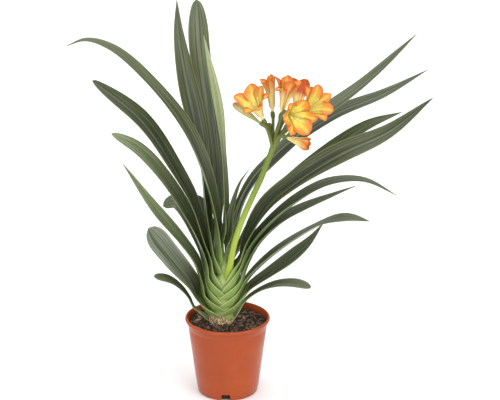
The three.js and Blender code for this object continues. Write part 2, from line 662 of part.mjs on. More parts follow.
// Six filaments and the longer style, standing on one small knob in the bloom's throat.
function stamenSolid({ tepals, start = 10 }) {
  const { count, foot, radius, anther } = STAMEN;
  const knob = new THREE.SphereGeometry(1.2, 5, 3);
  knob.translate(0, 0, foot);
  const pieces = [toSolid(knob)];
  for (let k = 0; k <= count; k += 1) {
    const style = k === count;
    const turn = (k / count) * 2 * Math.PI + 0.5;
    const spread = style ? 0.25 * start : 0.3 + 0.34 * start + 0.12 * tepals[1][1];
    const tall = style ? STAMEN.style : STAMEN.tall + 2 * Math.sin(k * 2.1);
    const aim = (r, z) => v3(r * Math.cos(turn), r * Math.sin(turn), z);
    const path = new THREE.CatmullRomCurve3([
      aim(0.3, foot), aim(spread * 0.35, tall * 0.55), aim(spread, tall),
    ]);
    pieces.push(toSolid(loft(path, 2, 3, (s) => {
      const r = radius + (style ? 0 : anther * smooth(s, 0.6, 1));
      return [r, r];
    })));
  }
  return join(pieces);
}

// A bud is a long drop with six shallow ridges; the half open one parts at its tip.
function budGeometry({ length, width }) {
  const rings = 8;
  const sides = 10;
  const path = new THREE.LineCurve3(v3(0, 0, 0), v3(0, 0, length));
  const geometry = loft(path, rings, sides, (s) => {
    const r = width * Math.max(Math.sin(Math.PI * (0.08 + 0.86 * s ** 0.9)) ** 0.85, 0.18);
    return [r, r];
  });
  const position = geometry.attributes.position;
  for (let i = 0; i < position.count; i += 1) {
    const ridge = 1 + (i % 2 === 0 ? 0.05 : -0.05);
    position.setXY(i, position.getX(i) * ridge, position.getY(i) * ridge);
  }
  return geometry;
}

function place(mesh, { base, look }) {
  mesh.position.set(...base);
  mesh.quaternion.setFromUnitVectors(v3(0, 0, 1), v3(...look).normalize());
}

// ---------------------------------------------------------------- dry skin round the foot

// What is left of an old leaf: a torn tan collar in front of the stem, just above the soil.
function drySkinGeometry() {
  const rows = [];
  const columns = 10;
  for (let i = 0; i <= 3; i += 1) {
    const row = [];
    for (let j = 0; j <= columns; j += 1) {
      const at = j / columns;
      const turn = rad(lerp(-138, -44, at));
      const low = smooth(at, 0.45, 0.7);
      const torn = lerp(15, 6.5, low) + 2.2 * ripple(at * 5, 1.3);
      const up = (i / 3) * torn;
      const off = STEM.flare + 1 + (lerp(5, 0.6, low) * i) / 3;
      const x = STEM.x + (STEM.radius + off) * Math.cos(turn);
      const y = STEM.y + (STEM.depth + off) * Math.sin(turn);
      row.push(v3(x, y, STEM.soil + 1.5 + up));
    }
    rows.push(row);
  }
  return sheet(rows, () => 0.8);
}

// ---------------------------------------------------------------- assembly

addPiece('pot', fromSolid(potSolid()), FINISH.pot);
addPiece('soil', fromSolid(soilSolid()), FINISH.soil);
addPiece('flower_stalk', fromSolid(stalkSolid()), FINISH.stalk);
addPiece('dry_leaf_base', drySkinGeometry(), FINISH.dry);

for (const leaf of LEAVES) {
  addPiece(leaf.name, leafGeometry(leaf), FINISH.leaf);
}

for (const bloom of BLOOMS) {
  place(addPiece(bloom.name, fromSolid(bloomSolid(bloom)), FINISH.petal), bloom);
  const stamens = bloom.name.replace('flower', 'stamens');
  place(addPiece(stamens, fromSolid(stamenSolid(bloom)), FINISH.stamen), bloom);
}

for (const bud of BUDS) {
  place(addPiece(bud.name, budGeometry(bud), FINISH.bud), bud);
}

export default clivia;
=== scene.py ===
import random
from math import cos, exp, hypot, pi, radians, sin, sqrt

import bpy
import numpy as np
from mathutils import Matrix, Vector


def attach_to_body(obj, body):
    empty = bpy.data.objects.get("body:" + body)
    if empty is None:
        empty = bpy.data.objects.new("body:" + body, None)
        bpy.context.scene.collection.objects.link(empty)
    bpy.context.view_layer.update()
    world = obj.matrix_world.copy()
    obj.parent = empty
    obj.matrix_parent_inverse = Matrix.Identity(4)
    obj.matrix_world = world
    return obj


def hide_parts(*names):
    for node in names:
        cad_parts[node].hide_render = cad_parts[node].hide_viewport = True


# %% [markdown]
# # A flowering clivia in its nursery pot
# The finished object is a house plant: two ranks of leathery strap leaves, one flower stalk with
# orange trumpets, and a moulded plastic pot full of peat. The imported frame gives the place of
# every piece. This lesson lays the fine surfaces over it, one kind of piece at a time.

# %% Load the frame
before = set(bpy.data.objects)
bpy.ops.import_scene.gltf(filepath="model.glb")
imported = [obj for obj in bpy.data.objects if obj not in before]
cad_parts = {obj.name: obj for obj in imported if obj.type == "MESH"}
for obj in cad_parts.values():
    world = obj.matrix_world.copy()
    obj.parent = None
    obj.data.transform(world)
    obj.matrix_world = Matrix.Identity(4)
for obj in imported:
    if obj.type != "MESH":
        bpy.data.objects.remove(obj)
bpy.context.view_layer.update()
MM = 0.001                     # the pieces are measured in millimetres, Blender wants metres

# %% [markdown]
# ## Working tools
# A leaf, a petal and a stem are all the same thing to a modeller: a flat grid of squares that is
# laid somewhere in space. So the first tools add Blender's grid primitive, lay its vertices on
# computed points, and give it a UV map that runs across and along the piece, because veins and
# colour follow the surface and not the room.


# %% Small helpers
def lerp(a, b, t):
    return a + (b - a) * t


def smooth(x, a, b):
    t = min(max((x - a) / (b - a), 0.0), 1.0)
    return t * t * (3 - 2 * t)


def full_turn(sides):
    """The angles once round, with the first one again at the end."""
    return [2 * pi * k / sides for k in range(sides + 1)]


def nothing_selected():
    bpy.ops.object.select_all(action="DESELECT")


def select_only(piece):
    nothing_selected()
    piece.select_set(True)
    bpy.context.view_layer.objects.active = piece


# %% Grids and pieces made point by point
def lay_grid(name, points, uv):
    """A grid primitive whose vertices lie on points[row][column], in millimetres."""
    points = np.array(points, float)
    rows, columns = points.shape[:2]
    nothing_selected()
    bpy.ops.mesh.primitive_grid_add(x_subdivisions=columns - 1, y_subdivisions=rows - 1)
    piece = bpy.context.object
    piece.name = piece.data.name = name
    piece.data.vertices.foreach_set("co", (points * MM).ravel())
    corners = np.empty(len(piece.data.loops), int)
    piece.data.loops.foreach_get("vertex_index", corners)
    uv = np.array(uv, float).reshape(-1, 2)[corners]
    piece.data.uv_layers[0].data.foreach_set("uv", uv.ravel())
    piece.data.update()
    return piece


def linked(name, data):
    thing = bpy.data.objects.new(name, data)
    bpy.context.scene.collection.objects.link(thing)
    return thing


def from_points(name, points, edges=(), faces=()):
    """An object whose mesh is given point by point, in millimetres."""
    mesh = bpy.data.meshes.new(name)
    mesh.from_pydata((np.array(points, float) * MM).tolist(), edges, faces)
    return linked(name, mesh)


def ring_point(r, a, z, side=0):
    """A point r away from the upright axis, at angle a, and moved sideways from there."""
    return r * cos(a) - side * sin(a), r * sin(a) + side * cos(a), z


def close_seams(piece):
    """Merges the seam of a rolled-up grid, fills its open ends and turns its faces outwards."""
    select_only(piece)
    bpy.ops.object.mode_set(mode="EDIT")
    bpy.ops.mesh.select_all(action="SELECT")
    bpy.ops.mesh.remove_doubles(threshold=0.01 * MM)
    bpy.ops.mesh.fill_holes(sides=0)
    bpy.ops.mesh.normals_make_consistent(inside=False)
    bpy.ops.object.mode_set(mode="OBJECT")
    return piece


# %% Modifiers, joining and the last touch
def apply_modifier(piece, kind, **settings):
    modifier = piece.modifiers.new(kind.title(), kind)
    for key, value in settings.items():
        setattr(modifier, key, value)
    select_only(piece)
    bpy.ops.object.modifier_apply(modifier=modifier.name)


def thicken(piece, thick, **settings):
    apply_modifier(piece, "SOLIDIFY", thickness=thick * MM, offset=0, **settings)


def carry(piece, name, values):
    """Writes a value on each of the piece's points, for its finish to read."""
    piece.data.attributes.new(name, "FLOAT", "POINT").data.foreach_set("value", values)


def joined(name, pieces):
    nothing_selected()
    for piece in pieces:
        piece.select_set(True)
    bpy.context.view_layer.objects.active = pieces[0]
    if len(pieces) > 1:
        bpy.ops.object.join()
    whole = bpy.context.object
    whole.name = whole.data.name = name
    return whole


def coat(piece, *materials):
    for mat in materials:
        piece.data.materials.append(mat)


def finished(piece, slot, nodes, *materials, angle=50):
    """The piece gets its finishes, smooth shading and its place on the frame."""
    coat(piece, *materials)
    select_only(piece)
    bpy.ops.object.shade_smooth_by_angle(angle=radians(angle))
    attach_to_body(piece, "root")
    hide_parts(*nodes)
    return piece


# %% Smooth paths
def smooth_path(points, detail=40):
    """A curve through the points with even, round bends: dense points and their distances."""
    p = [Vector(q) for q in points]
    p = [p[0] * 2 - p[1]] + p + [p[-1] * 2 - p[-2]]
    dense = []
    for k in range(1, len(p) - 2):
        a, b, c, d = p[k - 1:k + 3]
        t0, t1, t2 = [(q - o).length ** 0.5 for o, q in ((a, b), (b, c), (c, d))]
        m1 = ((b - a) / t0 - (c - a) / (t0 + t1) + (c - b) / t1) * t1
        m2 = ((c - b) / t1 - (d - b) / (t1 + t2) + (d - c) / t2) * t1
        for i in range(detail + (k == len(p) - 3)):
            t = i / detail
            dense.append(b + m1 * t + (3 * (c - b) - 2 * m1 - m2) * t * t
                         + (2 * (b - c) + m1 + m2) * t ** 3)
    dense = np.array(dense)
    far = np.concatenate([[0], np.cumsum(np.linalg.norm(np.diff(dense, axis=0), axis=1))])
    return dense, far


def on_path(path, distance):
    """The point at a distance along the path and the direction there."""
    dense, far = path
    at = [np.interp(distance, far, dense[:, k]) for k in range(3)]
    back, ahead = max(distance - 1, 0), min(distance + 1, far[-1])
    step = [np.interp(ahead, far, dense[:, k]) - np.interp(back, far, dense[:, k]) for k in range(3)]
    direction = Vector(step).normalized()
    point = Vector(at)
    if distance < 0:
        point += direction * distance
    return point, direction


def tube(name, path, stations, sides, size):
    """A closed stem along a path. size(share) gives its half width and half depth."""
    length = path[1][-1]
    rows, uv = [], []
    for i in range(stations + 1):
        share = i / stations
        middle, along = on_path(path, share * length)
        side = Vector((0, 1, 0)).cross(along)
        if side.length < 0.1:
            side = Vector((1, 0, 0)).cross(along)
        side.normalize()
        front = along.cross(side).normalized()
        a, b = size(share)
        rows.append([middle + side * a * cos(t) + front * b * sin(t)
                     for t in full_turn(sides)])
        uv.append([(k / sides, share * length * MM) for k in range(sides + 1)])
    return close_seams(lay_grid(name, rows, uv))


print("tools ready")

# %% [markdown]
# ## Finishes
# A plant is never one flat colour. Each finish below is a small node tree: the base colour changes
# from the root to the tip, fine streaks run along the veins, and a bump raises the same streaks.
# Streaks are noise stretched along the UV map. Roughness sets the waxy sheen.


# %% A node builder
def shader_of(mat):
    return mat.node_tree.nodes["Principled BSDF"]


def new_finish(name, roughness, gloss=0.5):
    mat = bpy.data.materials.new(name)
    mat.use_nodes = True
    shader = shader_of(mat)
    shader.inputs["Roughness"].default_value = roughness
    shader.inputs["Specular IOR Level"].default_value = gloss
    return mat


def feed(mat, socket, value):
    """Gives a socket a number, a vector, a colour or another node's output."""
    if isinstance(value, bpy.types.NodeSocket):
        mat.node_tree.links.new(value, socket)
    else:
        socket.default_value = (*value, 1) if socket.type == "RGBA" else value


def node(mat, kind, sockets=None, **settings):
    made = mat.node_tree.nodes.new("ShaderNode" + kind)
    for key, value in settings.items():
        setattr(made, key, value)
    for key, value in (sockets or {}).items():
        feed(mat, made.inputs[key], value)
    return made


def mixed(mat, share, a, b, blend="MIX"):
    """Mixes two colours, by a share that is a number or another node's output."""
    return node(mat, "Mix", {"Factor": share, 6: a, 7: b}, data_type="RGBA",
                blend_type=blend).outputs[2]


# %% Values that a finish is mixed from
def ramp(mat, value, low, high, to_low=0.0, to_high=1.0):
    return node(mat, "MapRange", {"Value": value, "From Min": low, "From Max": high,
                                  "To Min": to_low, "To Max": to_high},
                interpolation_type="SMOOTHSTEP").outputs["Result"]


def on_uv(mat, axis):
    """How far across (X) or along (Y) the piece a spot lies."""
    uv = node(mat, "TexCoord").outputs["UV"]
    return node(mat, "SeparateXYZ", {0: uv}).outputs[axis]


def carried(mat, name):
    """A value that rides on the piece's points."""
    return node(mat, "Attribute", attribute_name=name).outputs["Fac"]


def worked(mat, operation, *values):
    """Arithmetic on numbers and other nodes' outputs."""
    return node(mat, "Math", dict(enumerate(values)), operation=operation).outputs[0]


def grain(mat, scale, detail, roughness=0.5):
    """Noise without a direction, through the whole piece."""
    spot = node(mat, "TexCoord").outputs["Object"]
    return node(mat, "TexNoise", {"Vector": spot, "Scale": scale, "Detail": detail,
                                  "Roughness": roughness}).outputs["Fac"]


def shaded(mat, share, body, tint):
    """Darkens a colour with a tint where share is 0 and leaves it where share is 1."""
    return mixed(mat, share, mixed(mat, 1.0, body, tint, "MULTIPLY"), body)


def streaks(mat, scale_across, scale_along, detail=3.0):
    """Noise on the UV map, drawn out along the piece."""
    uv = node(mat, "TexCoord").outputs["UV"]
    stretched = node(mat, "VectorMath", {0: uv, 1: (scale_across, scale_along, 1)},
                     operation="MULTIPLY").outputs["Vector"]
    return node(mat, "TexNoise", {"Vector": stretched, "Scale": 1.0, "Detail": detail,
                                  "Roughness": 0.6}).outputs["Fac"]


# %% Relief and colour
def relief(mat, height, distance, strength=1.0, under=None):
    sockets = {"Height": height, "Distance": distance, "Strength": strength}
    if under:
        sockets["Normal"] = under
    bump = node(mat, "Bump", sockets).outputs["Normal"]
    feed(mat, shader_of(mat).inputs["Normal"], bump)
    return bump


def colour_to(mat, colour):
    feed(mat, shader_of(mat).inputs["Base Color"], colour)


print("finish builder ready")

# %% [markdown]
# ### Leaf skin
# The upper skin of a clivia leaf is dark and waxy, the under skin paler and duller, and near the
# root both fade to a pale yellow green. The UV map carries the place: across from -1 to 1, along
# in metres. Two values ride on each leaf. The first says how pale it is, and it is lowered down the
# leaf as painted shade. The second says how much painted silvery sheen, a painted reflection, lies
# on it in patches, and it grows toward the tip. The skin is also painted darker along the midrib
# channel as painted shade, with a painted highlight line in the groove.


# %% Leaf skins
def leaf_skin(name, dark, light, pale, roughness, gloss, rib_share, pale_until):
    mat = new_finish(name, roughness, gloss)
    across = worked(mat, "ABSOLUTE", on_uv(mat, "X"))
    tone = carried(mat, "tone")
    shine = carried(mat, "shine")
    body = mixed(mat, tone, dark, light)
    # Painted shade: the skin is lighter toward the margins, so the folded channel along the midrib stays
    # darker.
    body = mixed(mat, ramp(mat, across, 0.25, 0.95, 0.0, 0.55), body, light)
    broad = streaks(mat, 3.0, 7.0)
    body = mixed(mat, ramp(mat, broad, 0.4, 0.7, 0.0, 0.5), body, light)
    # Painted sheen: in cloudy patches the skin turns silvery grey, a painted reflection of the bright
    # surround.
    cloudy = ramp(mat, streaks(mat, 1.3, 5.0, 1.0), 0.36, 0.62)
    painted_sheen_mask = worked(mat, "MULTIPLY", cloudy, shine)
    body = mixed(mat, painted_sheen_mask, body, (0.30, 0.34, 0.25))
    body = mixed(mat, ramp(mat, tone, 1.0, 2.0), body, (0.60, 0.68, 0.37))
    veins = streaks(mat, 9.0, 2.5, 2.0)
    fine = streaks(mat, 26.0, 10.0, 2.0)
    for layer, low, high in ((veins, 0.42, 0.58), (fine, 0.38, 0.62)):
        body = shaded(mat, ramp(mat, layer, low, high), body, (0.46, 0.48, 0.45))
    young = ramp(mat, on_uv(mat, "Y"), 0.01, pale_until, 1.0, 0.0)
    body = mixed(mat, young, body, pale)
    # Painted highlight: a lighter line along the midrib groove.
    rib = ramp(mat, across, 0.02, 0.12, rib_share, 0.0)
    body = mixed(mat, rib, body, light)
    margin = ramp(mat, across, 0.90, 0.98, 0.0, 0.6)
    body = mixed(mat, margin, body, mixed(mat, young, light, (0.54, 0.64, 0.32)))
    colour_to(mat, body)
    low = relief(mat, broad, 0.0012, 0.35)
    relief(mat, fine, 0.0004, 0.6, under=low)
    return mat


LEAF_TOP = leaf_skin("leaf upper skin", dark=(0.015, 0.020, 0.009), light=(0.190, 0.223, 0.096),
                     pale=(0.26, 0.34, 0.09), roughness=0.32, gloss=0.5, rib_share=0.55, pale_until=0.05)
LEAF_UNDER = leaf_skin("leaf under skin", dark=(0.080, 0.115, 0.036), light=(0.23, 0.31, 0.095),
                       pale=(0.25, 0.36, 0.09), roughness=0.42, gloss=0.4, rib_share=0.2,
                       pale_until=0.082)
print("leaf skins:", LEAF_TOP.name, "/", LEAF_UNDER.name)

# %% [markdown]
# ## The leaves
# Every leaf clasps the short stem with a sheath, opens into a strap and arches outwards under its
# own weight. A list gives each leaf's root, the points its midrib passes and how it rolls. The
# strap is one grid, laid along the midrib, and Solidify gives it flesh: thick at the midrib, thin
# at the margins, with the under skin on its other side.

# %% The short stem
STEM = dict(x=-9, y=3, soil=110, shoulder=176, top=222, radius=16, depth=13, foot=2.4)


def stem_size(z):
    thin = 1 - 0.45 * smooth(z, STEM["shoulder"], STEM["shoulder"] + 12) \
        - 0.38 * smooth(z, STEM["shoulder"] + 8, STEM["top"])
    wide = STEM["foot"] * (1 - smooth(z, STEM["soil"], STEM["shoulder"]))
    return STEM["radius"] * thin + wide, STEM["depth"] * thin + wide


def stem_axis(z):
    up = max(z - STEM["soil"], 0) / (STEM["top"] - STEM["soil"])
    return Vector((STEM["x"] + 4 * up, STEM["y"] + 5 * up * up, z))


print("stem from", STEM["soil"], "to", STEM["top"], "mm")

# %% The list of leaves, outermost first in each rank
def a_leaf(name, **shape):
    return dict(shape, name="leaf_" + name, side=-1 if name.startswith("left") else 1)


LEAVES = [
    a_leaf("left_01", attach=113, spread=0.95, half=10, wrap=(26, 36), tip=0.2,
           roll=(12, 26, 44), tone=0.6, shine=0.3,
           route=[(-58, -8, 152), (-72, -16, 176), (-88, -25, 192), (-110, -34, 201)]),
    a_leaf("right_01", attach=116, spread=0.6, half=14, wrap=(28, 36), tip=0.26,
           roll=(8, 22, 26), tone=0.55, shine=0.3,
           route=[(47, 8, 158), (76, 12, 168), (104, 15, 168), (128, 17, 162)]),
    a_leaf("left_02", attach=122, spread=0.62, half=17.5, waist=0.85, wrap=(102, 98), tip=0.16,
           roll=(34, 54, 60), tone=0.3, shine=0.8,
           route=[(-55, -9, 176), (-68, -21, 202), (-90, -37, 241), (-116, -50, 284)]),
    a_leaf("right_02", attach=128, spread=0.6, half=17, waist=0.6, wrap=(100, 96), tip=0.5,
           roll=(20, 26, 16), tone=0.15, shine=0.25,
           route=[(40, 1, 170), (68, -5, 194), (99, -10, 221), (124, -16, 248), (144, -22, 281)]),
    a_leaf("left_03", attach=134, spread=0.45, half=14, waist=0.92, wrap=(108, 100), tip=0.4,
           roll=(16, 18, 16), tone=1.3, shine=0.2,
           route=[(-41, -3, 178), (-50, -9, 212), (-72, -18, 250), (-108, -30, 305), (-152, -44, 382)]),
    a_leaf("right_03", attach=140, spread=0.52, half=13, waist=0.78, wrap=(108, 100), tip=0.4,
           roll=(2, -6, 70), tone=0.35, shine=0.35,
           route=[(36, 9, 183), (67, 16, 212), (109, 25, 241), (147, 32, 260.5), (184, 36, 269),
                  (217, 38, 262)]),
    a_leaf("left_04", attach=145, spread=0.36, half=12, waist=0.95, wrap=(94, 84), tip=0.18,
           roll=(20, 40, 60), tone=0.8, shine=0.2,
           route=[(-37, 10, 190), (-45, 19, 232), (-61, 31, 270), (-79, 40, 293), (-98, 44, 284)]),
    a_leaf("right_04", attach=152.5, spread=0.5, half=15, wrap=(108, 100), tip=0.5,
           roll=(8, 8, 6), tone=0.25, shine=0.35,
           route=[(30, 5, 199), (49, 8, 236), (82, 10, 270), (122, 13, 295), (165, 17, 314),
                  (194, 21, 325)]),
    a_leaf("left_05", attach=158, spread=0.3, half=17, waist=0.72, wrap=(106, 94), tip=0.29,
           roll=(18, 22, 20), tone=1.5, shine=0.5,
           route=[(-34, -2, 205), (-43, -4, 243), (-65, -4, 292), (-95, -5, 345), (-133, -9, 393),
                  (-170, -14, 419)]),
    a_leaf("right_05", attach=164, spread=0.3, half=15, wrap=(100, 100), tip=0.5,
           roll=(4, 6, 14), tone=0.35, shine=0.4,
           route=[(26, 3, 204), (38, -2, 237), (66, -13, 277), (108, -23, 318), (154, -30, 348),
                  (202, -36, 354), (250, -42, 333)]),
    a_leaf("left_06", attach=170, spread=0.1, half=18, waist=0.72, slender=0.85, wrap=(92, 92), tip=0.3,
           roll=(20, 28, 26), tone=0.2, shine=0.35,
           route=[(-28, 1, 214), (-37, -4, 245), (-52, -8, 301), (-79, -15, 363),
                  (-125, -24, 441), (-194, -36, 507)]),
    a_leaf("right_06", attach=176, spread=0.24, half=18, waist=0.8, wrap=(82, 100), tip=0.39,
           roll=(24, 38, 36), tone=0.2, shine=0.25,
           route=[(25, 1, 214), (34, -5, 248), (61, -14, 303), (106, -26, 348), (166, -38, 393),
                  (238, -50, 434), (298, -60, 488)]),
    a_leaf("left_07", attach=183, spread=0.2, half=9.5, wrap=(30, 42), tip=0.2,
           roll=(0, 10, 20), tone=0.4, shine=0.2, bearing=58,
           route=[(-22, 34, 222), (-28, 40, 250), (-36, 46, 279), (-47, 54, 298)]),
    a_leaf("right_07", attach=186, spread=0.24, half=16, waist=0.7, slender=0.8,
           wrap=(22, 70), tip=0.31, roll=(14, 22, 22), tone=0.35, shine=0.4,
           route=[(19, 19, 223), (34, 32, 252), (67, 38, 295), (114, 47, 338), (170, 54, 379.5),
                  (217, 58, 410.5), (263, 60, 429)]),
    a_leaf("left_08", attach=190, spread=0.28, half=17, waist=0.6, wrap=(80, 32), tip=0.4,
           roll=(20, 56, 60), tone=0.35, shine=0.4,
           route=[(-26, 2.4, 232), (-32, 1, 276), (-37, 6, 346), (-47, 12, 420), (-62, 14, 500),
                  (-71, 14, 568), (-72, 13, 614)]),
    a_leaf("right_08", attach=194, spread=0.14, half=16, waist=0.6, slender=0.8, wrap=(36, 70), tip=0.4,
           roll=(16, 22, 20), tone=0.3, shine=0.4,
           route=[(15, 21, 232), (16, 32, 260), (27, 42, 294.5), (45, 51, 323), (67, 57, 343),
                  (89, 62, 364), (109, 66, 384), (166, 74, 421), (236, 82, 450), (302, 84, 488)]),
    a_leaf("left_09", attach=197, spread=0.22, half=16, waist=0.6, wrap=(74, 60), tip=0.14,
           roll=(58, 74, 70), tone=0.65, shine=0.75,
           route=[(-19.5, 22.5, 242), (-19, 37, 296), (-22, 49, 362), (-31, 57, 440),
                  (-41, 60, 520), (-45, 62, 603)]),
    a_leaf("right_09", attach=202, spread=0.1, half=16, waist=0.95, slender=0.55,
           wrap=(40, 80), tip=0.34, roll=(10, 16, 16), tone=0.5, shine=0.5,
           route=[(8, 13, 238), (15, 22, 284), (40, 34, 334), (86, 46, 378), (140, 56, 422),
                  (212, 66, 477), (283, 72, 547)]),
    a_leaf("left_10", attach=205, spread=0.02, half=17, waist=0.85, wrap=(84, 40), tip=0.5,
           roll=(20, 18, 26), tone=0.6, shine=0.3,
           route=[(-15.6, -6, 248), (-21, -12, 297), (-34, -19, 355), (-65, -29, 436),
                  (-108, -38, 500), (-162, -46, 557), (-200, -51, 572), (-228, -55, 564)]),
    a_leaf("right_10", attach=210, spread=0, half=5.5, waist=2.5, slender=0.42, wrap=(60, 80), tip=0.5,
           roll=(60, 64, 50), tone=0.6, shine=0.1,
           route=[(1.6, -1.6, 254), (8, -6, 302), (20, -10, 342), (36, -14, 367)]),
    a_leaf("left_11", attach=219, spread=0.0, half=11, waist=1.5, slender=0.5, wrap=(100, 90), tip=0.45,
           roll=(30, 40, 46), tone=2.2, shine=1.0,
           route=[(-6.6, 4.4, 262), (-4, 0, 330), (-8, -3, 410), (-19, -5, 490), (-33, -6, 566)]),
]
print(len(LEAVES), "leaves")

# %% Where a leaf's midrib runs
SHEATH = dict(clear=1.7, bulge=0.22)


def leaf_midrib(leaf):
    side, attach, spread, route = leaf["side"], leaf["attach"], leaf["spread"], leaf["route"]
    axis = stem_axis(attach)
    out = stem_size(attach)[0] + SHEATH["clear"]
    back = (route[0][1] - axis.y) / (route[0][2] - attach)
    turn = radians(leaf.get("bearing", 0))
    base = []
    for up in (0, 12, 26):
        reach = out + spread * up
        lean = 0 if turn else back * up
        base.append((axis.x + side * reach * cos(turn),
                     axis.y + reach * sin(turn) + lean, attach + up))
    return smooth_path(base + list(route))


def leaf_stations(length):
    """Close together in the sheath and at the tip, wider apart along the blade."""
    low = [-9, -6, -3, 0, 3, 6, 9, 13, 17, 22, 28, 35, 43, 52, 62]
    blade = max(16, round((length - 62) / 10))
    shares = [k / blade for k in range(1, blade + 1)]
    return low + [62 + (length - 62) * (1 - (1 - s) ** 1.25) for s in shares]


# %% How wide a leaf is and how far its sheath wraps
def strap_half_width(leaf, u, s, narrowest):
    """Half the strap's width u mm along, at the share s of its length."""
    waist = lerp(narrowest, 1, smooth(u, 40, 180))
    end = max((s - (1 - leaf["tip"])) / leaf["tip"], 0)
    if leaf["tip"] <= 0.3:
        taper = sqrt(max(1 - end * end, 0.0006))
    else:
        taper = 1 - 0.975 * end ** 1.9
    slim = lerp(1, leaf.get("slender", 1), smooth(u, 40, 90) * (1 - smooth(u, 160, 260)))
    return leaf["half"] * waist * slim * taper


def wrap_angles(leaf, u, wide, deep, strap_half, unwraps, curl):
    """How far the two wings reach round the oval stem, as angles from the midrib."""
    bends = np.linspace(0, 2.2, 45)
    steps = np.hypot(wide * np.sin(bends), deep * np.cos(bends)) * bends[1]
    lengths = np.concatenate([[0], np.cumsum(steps[1:])])
    angles = []
    for w in leaf["wrap"]:
        full = np.interp(radians(w), bends, lengths)
        wing = strap_half + (full - strap_half) * max(1 - max(u, 0) / unwraps, 0) ** 1.35
        angles.append(min(np.interp(wing, lengths, bends), lerp(radians(w), curl, smooth(u, 0, 60))))
    return angles


# %% How a leaf is laid
LEAF_COLUMNS = 16


def leaf_grid(leaf, seed):
    side, attach = leaf["side"], leaf["attach"]
    turn_out = radians(leaf.get("bearing", 0))
    path = leaf_midrib(leaf)
    length = path[1][-1]
    axis = stem_axis(attach)
    curl = radians(32 if attach > STEM["shoulder"] else 48)
    inner = smooth(attach, 118, 178)
    narrowest = leaf.get("waist", lerp(0.42, 0.95, inner))
    unwraps, opens = lerp(26, 44, inner), lerp(40, 66, inner)
    level = Vector((-side * sin(turn_out), cos(turn_out), 0))
    outwards = Vector((side * cos(turn_out), sin(turn_out), 0))
    turns = (0,) + leaf["roll"]
    rows, uv = [], []
    for u in leaf_stations(length):
        s = min(max(u / length, 0), 1)
        middle, along = on_path(path, u)
        flat = (level - along * along.dot(level)).normalized()
        face = flat.cross(along) if side < 0 else along.cross(flat)
        k = min(int(s * 3), 2)
        roll = radians(lerp(turns[k], turns[k + 1], smooth(s * 3 - k, 0, 1)))
        across = flat * cos(roll) + face * sin(roll)
        up = face * cos(roll) - flat * sin(roll)
        strap_half = strap_half_width(leaf, u, s, narrowest)
        opened = smooth(u, 8, opens)
        outward = hypot(middle.x - axis.x, (middle.y - axis.y) * sin(turn_out))
        tuck = 1.3 * smooth(-u, -3, 7)
        depth = stem_size(attach)[1] + SHEATH["clear"] - tuck + SHEATH["bulge"] * min(max(u, 0), 40)
        reach = wrap_angles(leaf, u, outward - tuck, depth, strap_half, unwraps, curl)
        keel = lerp(0.56, 0.2, smooth(s, 0.3, 0.95))
        row, marks = [], []
        for j in range(LEAF_COLUMNS + 1):
            v = j / LEAF_COLUMNS * 2 - 1
            arc = v * (reach[0] if v < 0 else reach[1])
            wrapped = middle - outwards * ((outward - tuck) * (1 - cos(arc)) + tuck) \
                + level * depth * sin(arc)
            wave = 0.05 * abs(v) ** 2 * sin(u / 26 + seed * 2.1 + (1.3 if v < 0 else 0))
            fold = keel * abs(v) ** 1.2 + wave - 0.03 * exp(-(v / 0.1) ** 2) \
                + 0.014 * cos(v * 9.4)
            strap = middle + across * v * strap_half + up * fold * strap_half
            row.append(wrapped.lerp(strap, opened))
            marks.append((v, u * MM))
        rows.append(row if side < 0 else row[::-1])
        uv.append(marks if side < 0 else marks[::-1])
    return rows, uv, length


# %% Lay every leaf and give it flesh
LEAF_THICK = 1.9


def make_leaf(leaf, seed):
    rows, uv, length = leaf_grid(leaf, seed)
    piece = lay_grid(leaf["name"].replace("leaf", "strap_leaf"), rows, uv)
    flesh = piece.vertex_groups.new(name="flesh")
    columns = len(rows[0])
    for i in range(len(rows)):
        root = lerp(0.4, 1, smooth(i, 0, 8)) * (1 - 0.35 * i / len(rows))
        for j in range(columns):
            edge = abs(j * 2 / (columns - 1) - 1)
            flesh.add([i * columns + j], root * lerp(1.0, 0.42, edge ** 1.4), "REPLACE")
    # Painted light along each leaf: both values are low in its lower part as painted shade, and rise
    # toward the tip as painted sheen.
    shares = [lerp(0.25, 1.1, smooth(i / len(rows), 0.3, 0.8)) for i in range(len(rows))]
    for mark in ("tone", "shine"):
        carry(piece, mark, np.repeat(shares, columns) * leaf[mark])
    coat(piece, LEAF_TOP, LEAF_UNDER)
    thicken(piece, LEAF_THICK, vertex_group="flesh", material_offset=1, material_offset_rim=1)
    finished(piece, "leaf", [leaf["name"]])
    return length


lengths = [make_leaf(leaf, seed) for seed, leaf in enumerate(LEAVES)]
print("leaves laid, longest", round(max(lengths)), "mm, shortest", round(min(lengths)), "mm")

# %% [markdown]
# ## Stem, flower stalk and flower stems
# The short stem hides inside the sheaths. The flower stalk leaves it as a flattened, two-edged
# column, and at its top the flower stems spread like an umbrella's ribs, each with a swollen ovary
# right under its bloom. All are tubes rolled from a grid, so the green can fade along them.

# %% Stalk finish
def stalk_green(name, low, high, roughness, low_at, high_at):
    mat = new_finish(name, roughness, gloss=0.45)
    body = mixed(mat, ramp(mat, on_uv(mat, "Y"), low_at, high_at), low, high)
    fine = streaks(mat, 30.0, 14.0)
    body = shaded(mat, ramp(mat, fine, 0.3, 0.7), body, (0.80, 0.84, 0.74))
    colour_to(mat, body)
    relief(mat, fine, 0.0005, 0.5)
    return mat


STALK_GREEN = stalk_green("flower stalk", (0.40, 0.52, 0.06), (0.18, 0.25, 0.03), 0.4, 0.05, 0.24)
STEM_GREEN = stalk_green("stem and sheaths", (0.33, 0.42, 0.12), (0.48, 0.58, 0.20), 0.5, 0.0, 0.13)
RIB_GREEN = stalk_green("flower stem", (0.19, 0.24, 0.045), (0.13, 0.15, 0.032), 0.42, 0.0, 0.05)

